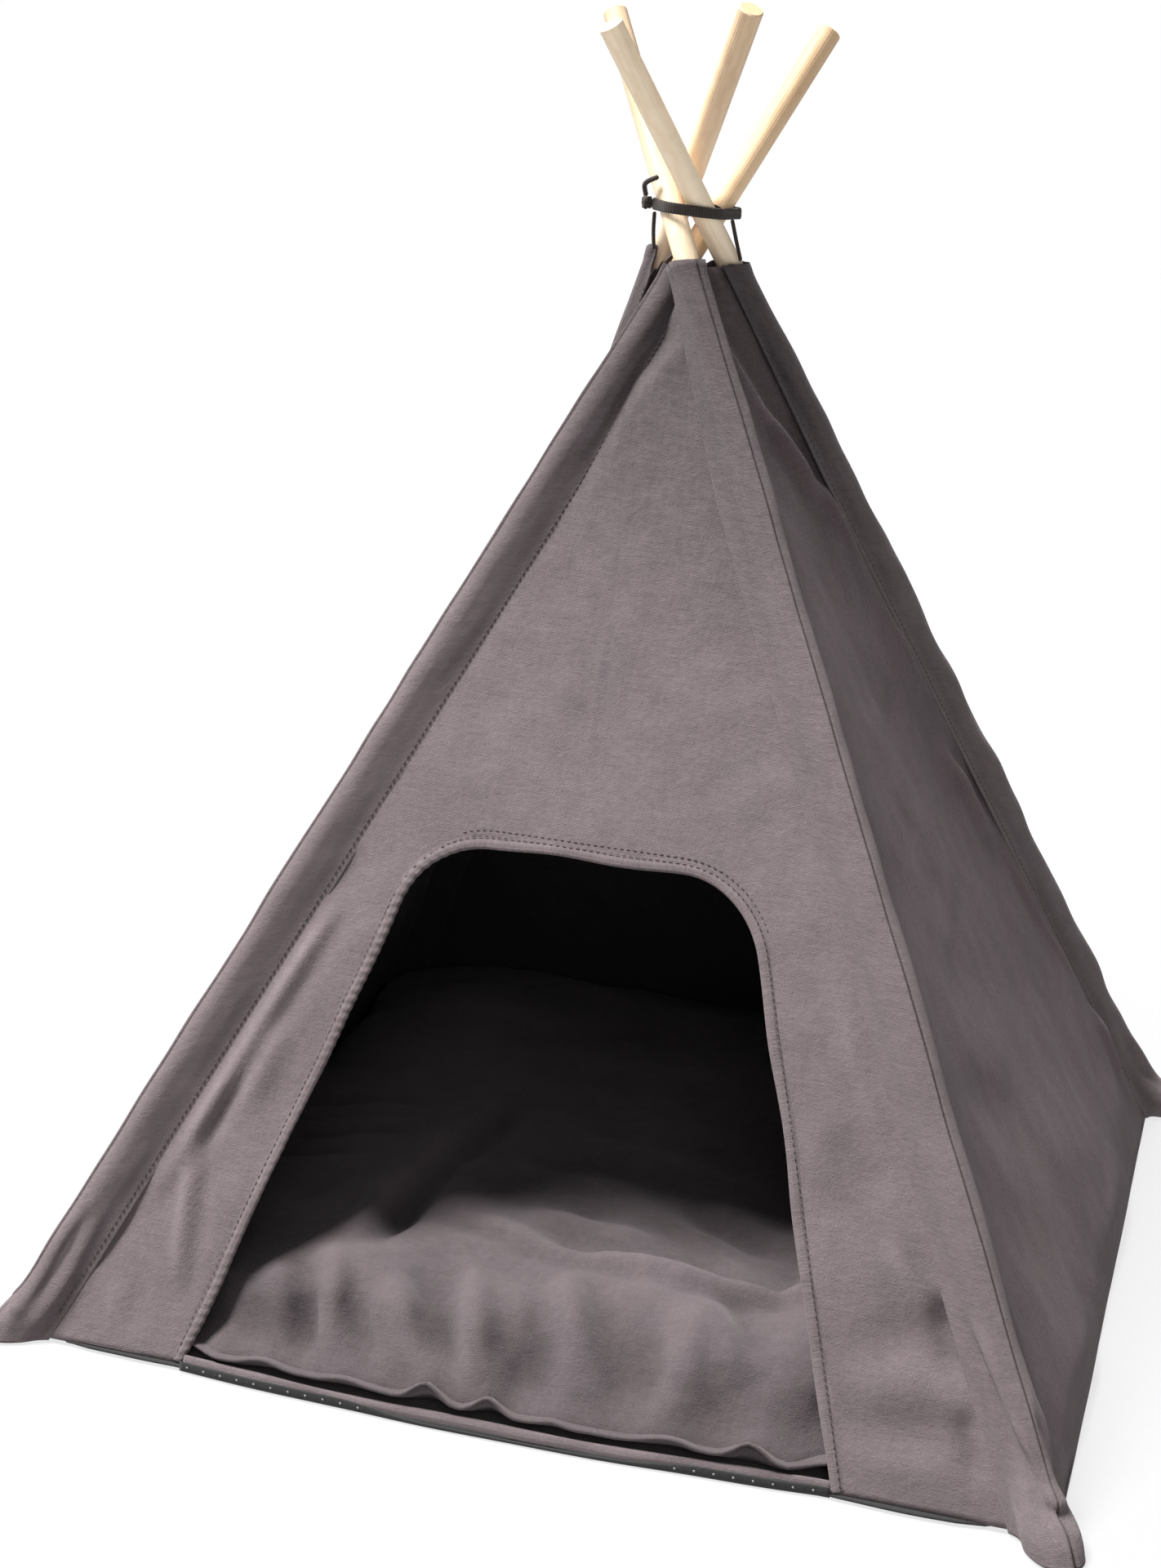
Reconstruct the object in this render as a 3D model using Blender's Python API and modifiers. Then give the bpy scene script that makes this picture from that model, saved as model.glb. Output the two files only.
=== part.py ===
"""Pet teepee: four crossed wooden poles lashed at the top, a sewn canvas cover and a loose floor cushion.

Metres, +Z up, origin on the floor under the middle of the base. The doorway faces -Y.
"""

import math

import bmesh
import bpy
from mathutils import Vector

# --- driving dimensions -----------------------------------------------------------------------

BASE = 0.500  # side of the square through the four pole feet
CROSSING_HEIGHT = 0.533  # where the poles pass each other
GAP = 0.0003  # between pieces that touch

POLE_DIAMETER = 0.012
POLE_EDGE = 0.0006

FABRIC = 0.0012
SLEEVE_RADIUS = 0.0078  # outside of the sleeve where it goes round the pole
SLEEVE_REACH = 0.0165  # from the pole's axis to the seams beside it
SLEEVE_REACH_TOP = 0.0080
SLEEVE_TAPER_FROM = 0.400  # height above which the sleeve narrows
SLEEVE_TOP = 0.509
SLEEVE_SEAM = 0.0016  # half thickness of the sleeve at its seams
POCKET_FLOOR = 0.0015

COVER_BOTTOM = 0.0021  # just above the floor sheet's edge
WALL_TOP = 0.490
WALL_COLUMNS = 8
WALL_ROWS = 10

DOOR_CENTRE = -0.004
DOOR_BOTTOM_HALF = 0.156
DOOR_TOP_HALF = 0.079  # where the corner curves begin, near the top
DOOR_HEIGHT = 0.239
DOOR_CORNER = 0.044
HEM_WIDTH = 0.0050
HEM_THICKNESS = 0.0026

SILL_HEIGHT = 0.0100
SILL_THICKNESS = 0.0024
SHEET_CORNER = 0.034  # cut off the floor sheets to pass the sleeves
ANTISLIP_OVERHANG = 0.0030  # past the pole line, so that its edge shows under the walls
ANTISLIP_LIP = 0.0052
FLOOR_LINING = 0.0010

BAND_WIDTH = 0.0052
BAND_THICKNESS = 0.0012
BAND_HEIGHT = 0.5338
BAND_FALL = 0.10  # the height that the lashing loses in each metre to the right
BRAID_DIAMETER = 0.0026

CUSHION_HALF = 0.2340  # to the seam round its edge
CUSHION_CORNER = 0.045
CUSHION_FLANGE = 0.0080
CUSHION_FLANGE_THICKNESS = 0.0016
CUSHION_HEIGHT = 0.060
CUSHION_SEAM_HEIGHT = 0.0110
CUSHION_BOTTOM = 0.0030
CUSHION_COVER = 0.0012

CORNERS = {"front_left": (-1, -1), "front_right": (1, -1), "back_right": (1, 1), "back_left": (-1, 1)}
# Where each pole passes the tent's axis, at the height of the crossing.
CROSSINGS = {
    "front_left": (0.0059, 0.0123),
    "front_right": (-0.0105, -0.0116),
    "back_right": (0.0045, -0.0091),
    "back_left": (-0.0129, 0.0086),
}
# From the floor to the tip, along each pole.
POLE_REACH = {"front_left": 0.753, "front_right": 0.751, "back_right": 0.743, "back_left": 0.742}
WALLS = {
    "front": ("front_left", "front_right"),
    "right": ("front_right", "back_right"),
    "back": ("back_right", "back_left"),
    "left": ("back_left", "front_left"),
}

# name: (linear colour, roughness)
FINISHES = {
    "canvas": ((0.150, 0.125, 0.132), 0.92),
    "wood": ((0.720, 0.530, 0.340), 0.55),
    "braid": ((0.016, 0.013, 0.012), 0.85),
    "antislip": ((0.045, 0.043, 0.045), 0.80),
    "filling": ((0.780, 0.770, 0.740), 0.95),
}


# --- scene, materials and small helpers --------------------------------------------------------


def clear_scene():
    for obj in list(bpy.data.objects):
        bpy.data.objects.remove(obj, do_unlink=True)


def new_collection(name):
    collection = bpy.data.collections.new(name)
    bpy.context.scene.collection.children.link(collection)
    return collection


def own_material(name, finish):
    colour, roughness = FINISHES[finish]
    material = bpy.data.materials.new(name)
    material.use_nodes = True
    shader = material.node_tree.nodes["Principled BSDF"]
    shader.inputs["Base Color"].default_value = (*colour, 1.0)
    shader.inputs["Roughness"].default_value = roughness
    shader.inputs["Metallic"].default_value = 0.0
    return material


def add_mesh(name, points, faces, finish=None, smooth=False):
    """A mesh object in the parts collection, facing out. Without a finish it's a cutter."""
    mesh = bpy.data.meshes.new(name)
    mesh.from_pydata([tuple(p) for p in points], [], faces)
    tidy = bmesh.new()
    tidy.from_mesh(mesh)
    bmesh.ops.recalc_face_normals(tidy, faces=tidy.faces)
    tidy.to_mesh(mesh)
    tidy.free()
    for face in mesh.polygons:
        face.use_smooth = smooth
    obj = bpy.data.objects.new(name, mesh)
    if finish:
        PARTS.objects.link(obj)
        mesh.materials.append(own_material(name, finish))
    else:
        CUTTERS.objects.link(obj)
        obj.hide_render = True
        obj.display_type = "WIRE"
    return obj


def set_origin(obj, point):
    """Moves the object's origin without moving its surface."""
    for vertex in obj.data.vertices:
        vertex.co -= Vector(point)
    obj.location = point


def bridge(first, second, count, closed=True):
    """Quads between two rings, given the index of each ring's first point."""
    quads = []
    for i in range(count if closed else count - 1):
        j = (i + 1) % count
        quads.append((first + i, first + j, second + j, second + i))
    return quads


def loft(name, rings, finish=None, smooth=False, closed_path=False):
    """A solid through rings of points. Its ends are capped, unless the path closes on itself."""
    count = len(rings[0])
    points = [p for ring in rings for p in ring]
    faces = []
    for n in range(len(rings) - 1):
        faces += bridge(n * count, (n + 1) * count, count)
    last = (len(rings) - 1) * count
    if closed_path:
        faces += bridge(last, 0, count)
    else:
        faces.append(tuple(range(count)))
        faces.append(tuple(range(last, last + count)))
    return add_mesh(name, points, faces, finish, smooth)


def boolean(obj, cutter, operation):
    modifier = obj.modifiers.new(operation.title(), "BOOLEAN")
    modifier.operation = operation
    modifier.solver = "EXACT"
    modifier.object = cutter


def round_edges(obj, width, segments=1):
    modifier = obj.modifiers.new("Rounded edges", "BEVEL")
    modifier.width = width
    modifier.segments = segments
    modifier.limit_method = "ANGLE"


# --- the frame's geometry ----------------------------------------------------------------------


def foot_of(corner):
    x, y = CORNERS[corner]
    return Vector((x * BASE / 2, y * BASE / 2, 0))


def crossing_of(corner):
    return Vector((*CROSSINGS[corner], CROSSING_HEIGHT))


def pole_direction(corner):
    return (crossing_of(corner) - foot_of(corner)).normalized()


def neighbours(corner):
    """The corners at the other ends of the two walls that meet here."""
    return [b if a == corner else a for a, b in WALLS.values() if corner in (a, b)]


def along_wall(corner, other):
    """Across the pole, towards the next corner, in the plane of the wall between them."""
    upward = pole_direction(corner)
    level = (foot_of(other) - foot_of(corner)).normalized()
    return (level - upward * level.dot(upward)).normalized()


def outward_from_wall(corner, other):
    normal = along_wall(corner, other).cross(pole_direction(corner)).normalized()
    return normal if normal.dot(foot_of(corner)) > 0 else -normal


def at_height(corner, across, height):
    """The point that lies this far across from the pole's axis, slid along the pole to a height."""
    upward = pole_direction(corner)
    start = foot_of(corner) + across
    return start + upward * ((height - start.z) / upward.z)


def sleeve_reach(height):
    share = (height - SLEEVE_TAPER_FROM) / (SLEEVE_TOP - SLEEVE_TAPER_FROM)
    return SLEEVE_REACH + (SLEEVE_REACH_TOP - SLEEVE_REACH) * min(max(share, 0), 1)


def wall_edge(corner, other, height):
    """The middle of the wall's edge beside a sleeve."""
    distance = sleeve_reach(height) + SLEEVE_SEAM + 2 * GAP
    return at_height(corner, along_wall(corner, other) * distance, height)


def wall_point(wall, share, height):
    """A point on the middle surface of a wall, share of the way from its first sleeve to its second."""
    first, second = WALLS[wall]
    return wall_edge(first, second, height).lerp(wall_edge(second, first, height), share)


def front_wall_point(x, height):
    """The point of the front wall's middle surface at this x and height, and the way out from it."""
    left = wall_point("front", 0, height)
    right = wall_point("front", 1, height)
    share = (x - left.x) / (right.x - left.x)
    upward = wall_point("front", share, height + 0.01) - wall_point("front", share, height)
    outward = (right - left).cross(upward).normalized()
    return left.lerp(right, share), outward


# --- poles and sleeves -------------------------------------------------------------------------


def make_pole(corner):
    """A plain dowel. Its foot stands in the pocket at the bottom of its sleeve."""
    upward = pole_direction(corner)
    lean = math.hypot(upward.x, upward.y)
    start = (POCKET_FLOOR + GAP + POLE_DIAMETER / 2 * lean) / upward.z
    length = POLE_REACH[corner] - start
    bpy.ops.mesh.primitive_cylinder_add(vertices=28, radius=POLE_DIAMETER / 2, depth=length)
    pole = bpy.context.object
    pole.name = "pole_" + corner
    for collection in list(pole.users_collection):
        collection.objects.unlink(pole)
    PARTS.objects.link(pole)
    pole.data.materials.append(own_material(pole.name, "wood"))
    to_crossing = (crossing_of(corner) - foot_of(corner)).length
    for vertex in pole.data.vertices:
        vertex.co.z += start + length / 2 - to_crossing
    pole.rotation_euler = upward.to_track_quat("Z", "Y").to_euler()
    pole.location = crossing_of(corner)
    for face in pole.data.polygons:
        face.use_smooth = len(face.vertices) == 4
    round_edges(pole, POLE_EDGE)
    return pole


def sleeve_section(corner, reach, radius, seam):
    """Across the sleeve: round the pole on the outside, flat to the two seams, straight across within."""
    first, second = neighbours(corner)
    along, normal = along_wall(corner, first), outward_from_wall(corner, first)
    spread = 2 * math.pi - along.angle(along_wall(corner, second))
    tip_angle = math.atan2(seam, reach)
    tip_distance = math.hypot(seam, reach)
    touch = tip_angle + math.acos(min(radius / tip_distance, 1))

    def polar(distance, angle):
        return along * distance * math.cos(angle) + normal * distance * math.sin(angle)

    section = [polar(reach + seam, 0), polar(tip_distance, tip_angle)]
    steps = 8
    section += [polar(radius, touch + (spread - 2 * touch) * i / steps) for i in range(steps + 1)]
    section += [polar(tip_distance, spread - tip_angle), polar(reach + seam, spread)]
    start, end = polar(tip_distance, spread + tip_angle), polar(tip_distance, -tip_angle)
    steps = 4
    for i in range(steps + 1):
        across = start.lerp(end, i / steps)
        section.append(across * max(1, radius / across.length))
    return section


def make_sleeve(corner):
    """A cloth tube closed under the pole's foot and open at the top."""
    heights = [0.0, 0.06, 0.16, 0.28, SLEEVE_TAPER_FROM, 0.440, 0.475, 0.495, SLEEVE_TOP]
    outside, inside = [], []
    for height in heights:
        reach = sleeve_reach(height)
        skin = sleeve_section(corner, reach, SLEEVE_RADIUS, SLEEVE_SEAM)
        lining = sleeve_section(corner, reach - FABRIC, SLEEVE_RADIUS - FABRIC, SLEEVE_SEAM - FABRIC)
        within = max(height, POCKET_FLOOR)
        outside.append([at_height(corner, across, height) for across in skin])
        inside.append([at_height(corner, across, within) for across in lining])
    sleeve = loft("sleeve_" + corner, outside + inside[::-1], "canvas")
    set_origin(sleeve, crossing_of(corner))
    return sleeve


# --- walls and doorway -------------------------------------------------------------------------


def make_wall(wall):
    """One cloth panel, from the floor sheet to just under the tops of the sleeves."""
    points = []
    for row in range(WALL_ROWS + 1):
        height = COVER_BOTTOM + (WALL_TOP - COVER_BOTTOM) * row / WALL_ROWS
        for column in range(WALL_COLUMNS + 1):
            points.append(wall_point(wall, column / WALL_COLUMNS, height))
    faces = []
    across = WALL_COLUMNS + 1
    for row in range(WALL_ROWS):
        faces += bridge(row * across, (row + 1) * across, across, closed=False)
    panel = add_mesh("wall_" + wall, points, faces, "canvas")
    thicken = panel.modifiers.new("Cloth thickness", "SOLIDIFY")
    thicken.thickness = FABRIC
    thicken.offset = 0
    return panel


def door_outline(margin):
    """(x, height) round the doorway from its bottom left to its bottom right, margin outside its edge."""
    crown = DOOR_HEIGHT + margin
    slope = (DOOR_BOTTOM_HALF - DOOR_TOP_HALF) / DOOR_HEIGHT
    outset = margin * math.hypot(1, slope)
    corner = DOOR_CORNER + margin

    def half_width(height):
        return DOOR_BOTTOM_HALF + outset - slope * height

    half = [(half_width(h), h) for h in (COVER_BOTTOM, 0.06, 0.12)]
    side_angle = math.atan(slope)
    centre_height = crown - corner
    tangent = Vector((math.cos(side_angle), math.sin(side_angle)))
    touch = half_width(centre_height + corner * tangent.y)
    centre_x = touch - corner * tangent.x
    steps = 8
    for i in range(steps + 1):
        angle = side_angle + (math.pi / 2 - side_angle) * i / steps
        half.append((centre_x + corner * math.cos(angle), centre_height + corner * math.sin(angle)))
    right = [(DOOR_CENTRE + x, h) for x, h in half]
    left = [(DOOR_CENTRE - x, h) for x, h in half]
    return left + right[::-1]


def cut_doorway(panel):
    """Cuts the front wall back to the outside of the hem."""
    outline = door_outline(HEM_WIDTH + GAP)
    below = -0.02
    loop = [(outline[0][0], below)] + outline + [(outline[-1][0], below)]
    rings = [[Vector((x, y, height)) for x, height in loop] for y in (-0.30, -0.05)]
    cutter = loft("doorway_cutter", rings)
    boolean(panel, cutter, "DIFFERENCE")


def make_door_hem():
    """The folded and stitched edge round the doorway."""
    rings = []
    for inner, outer in zip(door_outline(0), door_outline(HEM_WIDTH), strict=True):
        near, outward = front_wall_point(*inner)
        far, _ = front_wall_point(*outer)
        lift = outward * HEM_THICKNESS / 2
        rings.append([near - lift, near + lift, far + lift, far - lift])
    hem = loft("door_hem", rings, "canvas")
    round_edges(hem, 0.0005)
    return hem


def make_sill():
    """The low rolled strip that joins the floor to the front wall across the doorway."""
    outline = door_outline(-2 * GAP)
    lean = (outline[1][0] - outline[0][0]) / (outline[1][1] - outline[0][1])
    rings = []
    for side, x in ((1, outline[0][0]), (-1, outline[-1][0])):
        low, outward = front_wall_point(x, COVER_BOTTOM)
        high, _ = front_wall_point(x + side * lean * SILL_HEIGHT, COVER_BOTTOM + SILL_HEIGHT)
        lift = outward * SILL_THICKNESS / 2
        rings.append([low - lift, low + lift, high + lift, high - lift])
    sill = loft("door_sill", rings, "canvas")
    round_edges(sill, 0.0009, 3)
    return sill


# --- floor -------------------------------------------------------------------------------------


def sheet_outline(half, corner):
    """A square with its corners cut off."""
    near = half - corner
    eighth = [(half, -near), (half, near)]
    outline = []
    for turn in range(4):
        for x, y in eighth:
            outline.append(Vector((x, y)))
        eighth = [(-y, x) for x, y in eighth]
    return outline


def make_floor_sheet(name, half, corner, bottom, top, finish):
    outline = sheet_outline(half, corner)
    rings = [[Vector((p.x, p.y, height)) for p in outline] for height in (bottom, top)]
    return loft(name, rings, finish)


def make_antislip_sheet():
    """The dark underside. Along the doorway its edge turns up against the sill."""
    half = BASE / 2 + ANTISLIP_OVERHANG
    sheet = make_floor_sheet("floor_antislip", half, SHEET_CORNER + ANTISLIP_OVERHANG, 0, FABRIC, "antislip")
    left, right = door_outline(0)[0][0], door_outline(0)[-1][0]
    section = [(-half, 0), (-half, ANTISLIP_LIP), (-half + FABRIC, ANTISLIP_LIP), (-half + FABRIC, 0)]
    rings = [[Vector((x, y, height)) for y, height in section] for x in (left, right)]
    lip = loft("antislip_lip_cutter", rings)
    boolean(sheet, lip, "UNION")
    return sheet


# --- lashing -----------------------------------------------------------------------------------


def pole_surfaces():
    """Points round all four poles, at the heights that the lashing covers."""
    points = []
    for corner in CORNERS:
        across = along_wall(corner, neighbours(corner)[0])
        aside = pole_direction(corner).cross(across)
        for height in (BAND_HEIGHT - BAND_WIDTH, BAND_HEIGHT, BAND_HEIGHT + BAND_WIDTH):
            for step in range(32):
                angle = 2 * math.pi * step / 32
                around = across * math.cos(angle) + aside * math.sin(angle)
                points.append(at_height(corner, around * POLE_DIAMETER / 2, height))
    return points


def band_point(surfaces, angle, outset, lift):
    """On the lashing, where it faces this way: angle 0 is +X, outset is out from its inner face, lift is up."""
    facing = Vector((math.cos(angle), math.sin(angle), 0))
    touching = max(surfaces, key=facing.dot) + facing * (GAP + outset)
    return Vector((touching.x, touching.y, BAND_HEIGHT - BAND_FALL * touching.x + lift))


def make_band(surfaces):
    """The flat braid, wound round the four poles and pulled tight."""
    rings = []
    steps = 56
    for i in range(steps):
        angle = 2 * math.pi * i / steps
        low, high = -BAND_WIDTH / 2, BAND_WIDTH / 2
        corners = [(0, low), (BAND_THICKNESS, low), (BAND_THICKNESS, high), (0, high)]
        rings.append([band_point(surfaces, angle, outset, lift) for outset, lift in corners])
    return loft("lashing_band", rings, "braid", smooth=True, closed_path=True)


def make_braid(name, points, diameter):
    """A round braid along a smooth line of points."""
    curve = bpy.data.curves.new(name, "CURVE")
    curve.dimensions = "3D"
    curve.resolution_u = 5
    curve.bevel_depth = diameter / 2
    curve.bevel_resolution = 2
    curve.use_fill_caps = True
    spline = curve.splines.new("BEZIER")
    spline.bezier_points.add(len(points) - 1)
    for bezier, point in zip(spline.bezier_points, points, strict=True):
        bezier.co = point
        bezier.handle_left_type = "AUTO"
        bezier.handle_right_type = "AUTO"
    source = bpy.data.objects.new(name + "_line", curve)
    bpy.context.scene.collection.objects.link(source)
    depsgraph = bpy.context.evaluated_depsgraph_get()
    mesh = bpy.data.meshes.new_from_object(source.evaluated_get(depsgraph))
    bpy.data.objects.remove(source, do_unlink=True)
    weld = bmesh.new()
    weld.from_mesh(mesh)
    bmesh.ops.remove_doubles(weld, verts=weld.verts, dist=0.00005)
    bmesh.ops.recalc_face_normals(weld, faces=weld.faces)
    weld.to_mesh(mesh)
    weld.free()
    for face in mesh.polygons:
        face.use_smooth = len(face.vertices) == 4
    mesh.name = name
    mesh.materials.clear()
    mesh.materials.append(own_material(name, "braid"))
    braid = bpy.data.objects.new(name, mesh)
    PARTS.objects.link(braid)
    return braid


def make_knot(surfaces):
    """The overhand knot at the left of the lashing, as the lump it makes."""
    centre = band_point(surfaces, math.radians(197), BAND_THICKNESS + GAP + 0.0026, 0.0002)
    bpy.ops.mesh.primitive_uv_sphere_add(segments=20, ring_count=12, radius=0.0026)
    knot = bpy.context.object
    knot.name = "lashing_knot"
    for collection in list(knot.users_collection):
        collection.objects.unlink(knot)
    PARTS.objects.link(knot)
    knot.data.materials.append(own_material(knot.name, "braid"))
    for vertex in knot.data.vertices:
        vertex.co.z *= 1.35
        vertex.co.y *= 1.15
    for face in knot.data.polygons:
        face.use_smooth = True
    knot.location = centre
    return knot


def make_tail(knot):
    """The braid's free end, which curls up in front of the pole beside the knot."""
    bends = [(-0.0002, -0.0004, 0.0053), (-0.0010, -0.0012, 0.0078), (0.0008, -0.0030, 0.0098)]
    bends += [(0.0036, -0.0034, 0.0112), (0.0064, -0.0030, 0.0124)]
    return make_braid("lashing_tail", [knot.location + Vector(b) for b in bends], BRAID_DIAMETER)


def make_strand():
    """The inner turn of braid, which passes between the poles to the right of the lashing."""
    points = [(-0.0030, 0.0002, 0.5368), (0.0020, 0.0022, 0.5362), (0.0066, 0.0034, 0.5352), (0.0100, 0.0042, 0.5338)]
    return make_braid("lashing_strand", points, BRAID_DIAMETER)


def make_tie(side, points):
    """A braid that hangs from the lashing to the top of the cover and keeps it from sliding down."""
    return make_braid("tie_" + side, points, BRAID_DIAMETER * 0.8)


# --- cushion -----------------------------------------------------------------------------------


def pillow_ring(half, corner, height, steps=5):
    """A level square with round corners."""
    corner = min(corner, half)
    ring = []
    for turn in range(4):
        middle = math.radians(45 + 90 * turn)
        centre = Vector((math.copysign(half - corner, math.cos(middle)), math.copysign(half - corner, math.sin(middle))))
        for i in range(steps + 1):
            angle = middle + math.radians(90) * (i / steps - 0.5)
            ring.append(Vector((centre.x + corner * math.cos(angle), centre.y + corner * math.sin(angle), height)))
    return ring


def pillow_profile(inset, crown, base):
    """(half width, height) up one side of the pad, from its lowest point under the middle to its crown."""
    half = CUSHION_HALF - inset
    seam = CUSHION_SEAM_HEIGHT
    below = [(0.55 * half, base), (0.90 * half, base + 0.15 * (seam - base)), (0.97 * half, base + 0.5 * (seam - base))]
    rise = crown - seam
    above = [(0.975 * half, 0.28), (0.93 * half, 0.55), (0.84 * half, 0.78), (0.66 * half, 0.93), (0.35 * half, 1.0)]
    return below, [(width, seam + rise * share) for width, share in above]


def cover_half(name, profile, rim_height):
    """One half of the pad's cover: a thin shell whose rim is at the seam. The profile runs away from the rim."""
    away = math.copysign(CUSHION_COVER, rim_height - profile[-1][1])
    outside = [(CUSHION_HALF, rim_height)] + profile
    inside = [(CUSHION_HALF - CUSHION_COVER, rim_height)]
    inside += [(half - CUSHION_COVER, height + away) for half, height in profile]
    rings = []
    for half, height in outside[::-1] + inside:
        rings.append(pillow_ring(half, CUSHION_CORNER * half / CUSHION_HALF, height))
    return loft(name, rings, "canvas", smooth=True)


def make_cushion():
    """A soft square pad in a cover of the same canvas, with a flat stitched edge all round."""
    half_flange = CUSHION_FLANGE_THICKNESS / 2 + GAP
    below, above = pillow_profile(0, CUSHION_HEIGHT, CUSHION_BOTTOM)
    cover_half("cushion_top", above, CUSHION_SEAM_HEIGHT + half_flange)
    cover_half("cushion_bottom", below[::-1], CUSHION_SEAM_HEIGHT - half_flange)
    margin = CUSHION_COVER + 5 * GAP
    below, above = pillow_profile(4 * margin, CUSHION_HEIGHT - margin, CUSHION_BOTTOM + margin)
    rings = [pillow_ring(half, CUSHION_CORNER * half / CUSHION_HALF, height) for half, height in below + above]
    loft("cushion_filling", rings, "filling", smooth=True)
    make_flange()


def make_flange():
    """The two layers of cover sewn together outside the filling."""
    low = CUSHION_SEAM_HEIGHT - CUSHION_FLANGE_THICKNESS / 2
    high = CUSHION_SEAM_HEIGHT + CUSHION_FLANGE_THICKNESS / 2
    within = CUSHION_HALF - 0.003
    beyond = CUSHION_HALF + CUSHION_FLANGE
    inside = [pillow_ring(within, CUSHION_CORNER - 0.003, height) for height in (low, high)]
    outside = [pillow_ring(beyond, CUSHION_CORNER + CUSHION_FLANGE, height) for height in (low, high)]
    rings = [list(section) for section in zip(inside[0], outside[0], outside[1], inside[1], strict=True)]
    loft("cushion_flange", rings, "canvas", closed_path=True)


# --- assembly ----------------------------------------------------------------------------------

clear_scene()
PARTS = new_collection("pet_teepee")
CUTTERS = new_collection("cutters")

for corner_name in CORNERS:
    make_pole(corner_name)
    make_sleeve(corner_name)

for wall_name in WALLS:
    wall_panel = make_wall(wall_name)
    if wall_name == "front":
        cut_doorway(wall_panel)

make_door_hem()
make_sill()
make_antislip_sheet()
lining_bottom = FABRIC + GAP
make_floor_sheet(
    "floor_lining", BASE / 2 - 0.0035, SHEET_CORNER, lining_bottom, lining_bottom + FLOOR_LINING, "canvas"
)

pole_points = pole_surfaces()
make_band(pole_points)
lump = make_knot(pole_points)
make_tail(lump)
make_strand()
make_tie("left", [(-0.0205, -0.0080, 0.5305), (-0.0208, -0.0074, 0.5230), (-0.0204, -0.0066, 0.5160)])
make_tie("right", [(0.0178, -0.0046, 0.5282), (0.0202, -0.0036, 0.5200), (0.0226, -0.0022, 0.5125)])

make_cushion()
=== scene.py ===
"""The look of the pet teepee: poles, sewn cover, lashing, floor and cushion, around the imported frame.

Metres, +Z up, origin on the floor under the middle of the base. The doorway faces -Y.
"""

import math

import bmesh
import bpy
import numpy as np
from mathutils import Matrix, Vector


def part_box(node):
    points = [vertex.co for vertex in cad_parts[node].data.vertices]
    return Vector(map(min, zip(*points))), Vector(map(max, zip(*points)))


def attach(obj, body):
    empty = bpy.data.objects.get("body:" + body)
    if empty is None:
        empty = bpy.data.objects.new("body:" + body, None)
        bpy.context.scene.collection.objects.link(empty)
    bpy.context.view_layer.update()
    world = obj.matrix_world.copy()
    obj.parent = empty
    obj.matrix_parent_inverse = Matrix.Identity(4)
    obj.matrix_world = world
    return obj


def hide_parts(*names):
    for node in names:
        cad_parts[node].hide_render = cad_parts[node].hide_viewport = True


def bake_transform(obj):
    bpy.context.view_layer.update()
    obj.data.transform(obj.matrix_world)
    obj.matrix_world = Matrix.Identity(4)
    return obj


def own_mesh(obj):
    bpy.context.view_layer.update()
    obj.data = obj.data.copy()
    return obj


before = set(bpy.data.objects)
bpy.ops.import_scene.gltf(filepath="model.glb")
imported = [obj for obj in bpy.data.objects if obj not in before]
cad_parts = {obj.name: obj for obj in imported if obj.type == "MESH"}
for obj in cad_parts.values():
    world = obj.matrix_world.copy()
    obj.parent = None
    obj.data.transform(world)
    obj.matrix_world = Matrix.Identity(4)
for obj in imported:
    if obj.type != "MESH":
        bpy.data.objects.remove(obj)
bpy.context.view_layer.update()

# --- dimensions shared with the frame ----------------------------------------------------------

BASE = 0.500
POLE_DIAMETER = 0.012
GAP = 0.0003
CROSSING_HEIGHT = 0.533

SLEEVE_RADIUS = 0.0078
SLEEVE_REACH = 0.0165  # from the pole's axis to the seams beside it
SLEEVE_REACH_TOP = 0.0080
SLEEVE_TAPER_FROM = 0.400
SLEEVE_TOP = 0.509

COVER_BOTTOM = 0.0021
SIDE_BOTTOM = 0.0008
WALL_TOP = 0.507

DOOR_CENTRE = -0.004
DOOR_BOTTOM_HALF = 0.156
DOOR_TOP_HALF = 0.079
DOOR_HEIGHT = 0.239
DOOR_CORNER = 0.044
HEM_WIDTH = 0.0058

BAND_WIDTH = 0.0052
BAND_THICKNESS = 0.0012
BAND_HEIGHT = 0.5338
BAND_FALL = 0.10  # the height that the lashing loses in each metre to the right
BRAID_DIAMETER = 0.0026
BRAID_PITCH = 0.0021
BAND_RIB_PITCH = 0.00125
KNOT_STRAND_RADIUS = 0.00105

CUSHION_HALF = 0.2340
CUSHION_FLANGE = 0.0080
CUSHION_SEAM_HEIGHT = 0.0110
CUSHION_BOTTOM = 0.0030

# --- dimensions of the cloth -------------------------------------------------------------------

CLOTH = 0.0008
CUT_REACH = 0.00176  # how near the doorway's cut a point of the cloth is moved onto it
PAINTED_TOP_SHADE = (0.28, 0.50)  # the heights between which painted shade darkens the cloth towards its top
WALL_TUCK = 0.0040  # how far the walls run on under the sleeves
THREAD = 0.00052
STITCH = 0.0022
STITCH_PITCH = 0.0033
PUCKER_PITCH = 0.0046  # of the hem's puckers
DOT_PITCH = 0.0088

CORNERS = {"front_left": (-1, -1), "front_right": (1, -1), "back_right": (1, 1), "back_left": (-1, 1)}
# Where each pole passes the tent's axis, at the height of the crossing.
CROSSINGS = {
    "front_left": (0.0059, 0.0123),
    "front_right": (-0.0105, -0.0116),
    "back_right": (0.0045, -0.0091),
    "back_left": (-0.0129, 0.0086),
}
WALLS = {
    "front": ("front_left", "front_right"),
    "right": ("front_right", "back_right"),
    "back": ("back_right", "back_left"),
    "left": ("back_left", "front_left"),
}
FRAME_OF = {
    "front_left": "front_frame",
    "front_right": "front_frame",
    "back_right": "back_frame",
    "back_left": "back_frame",
}
BODY_OF_WALL = {"front": "front_frame", "back": "back_frame", "left": "side_left", "right": "side_right"}


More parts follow.
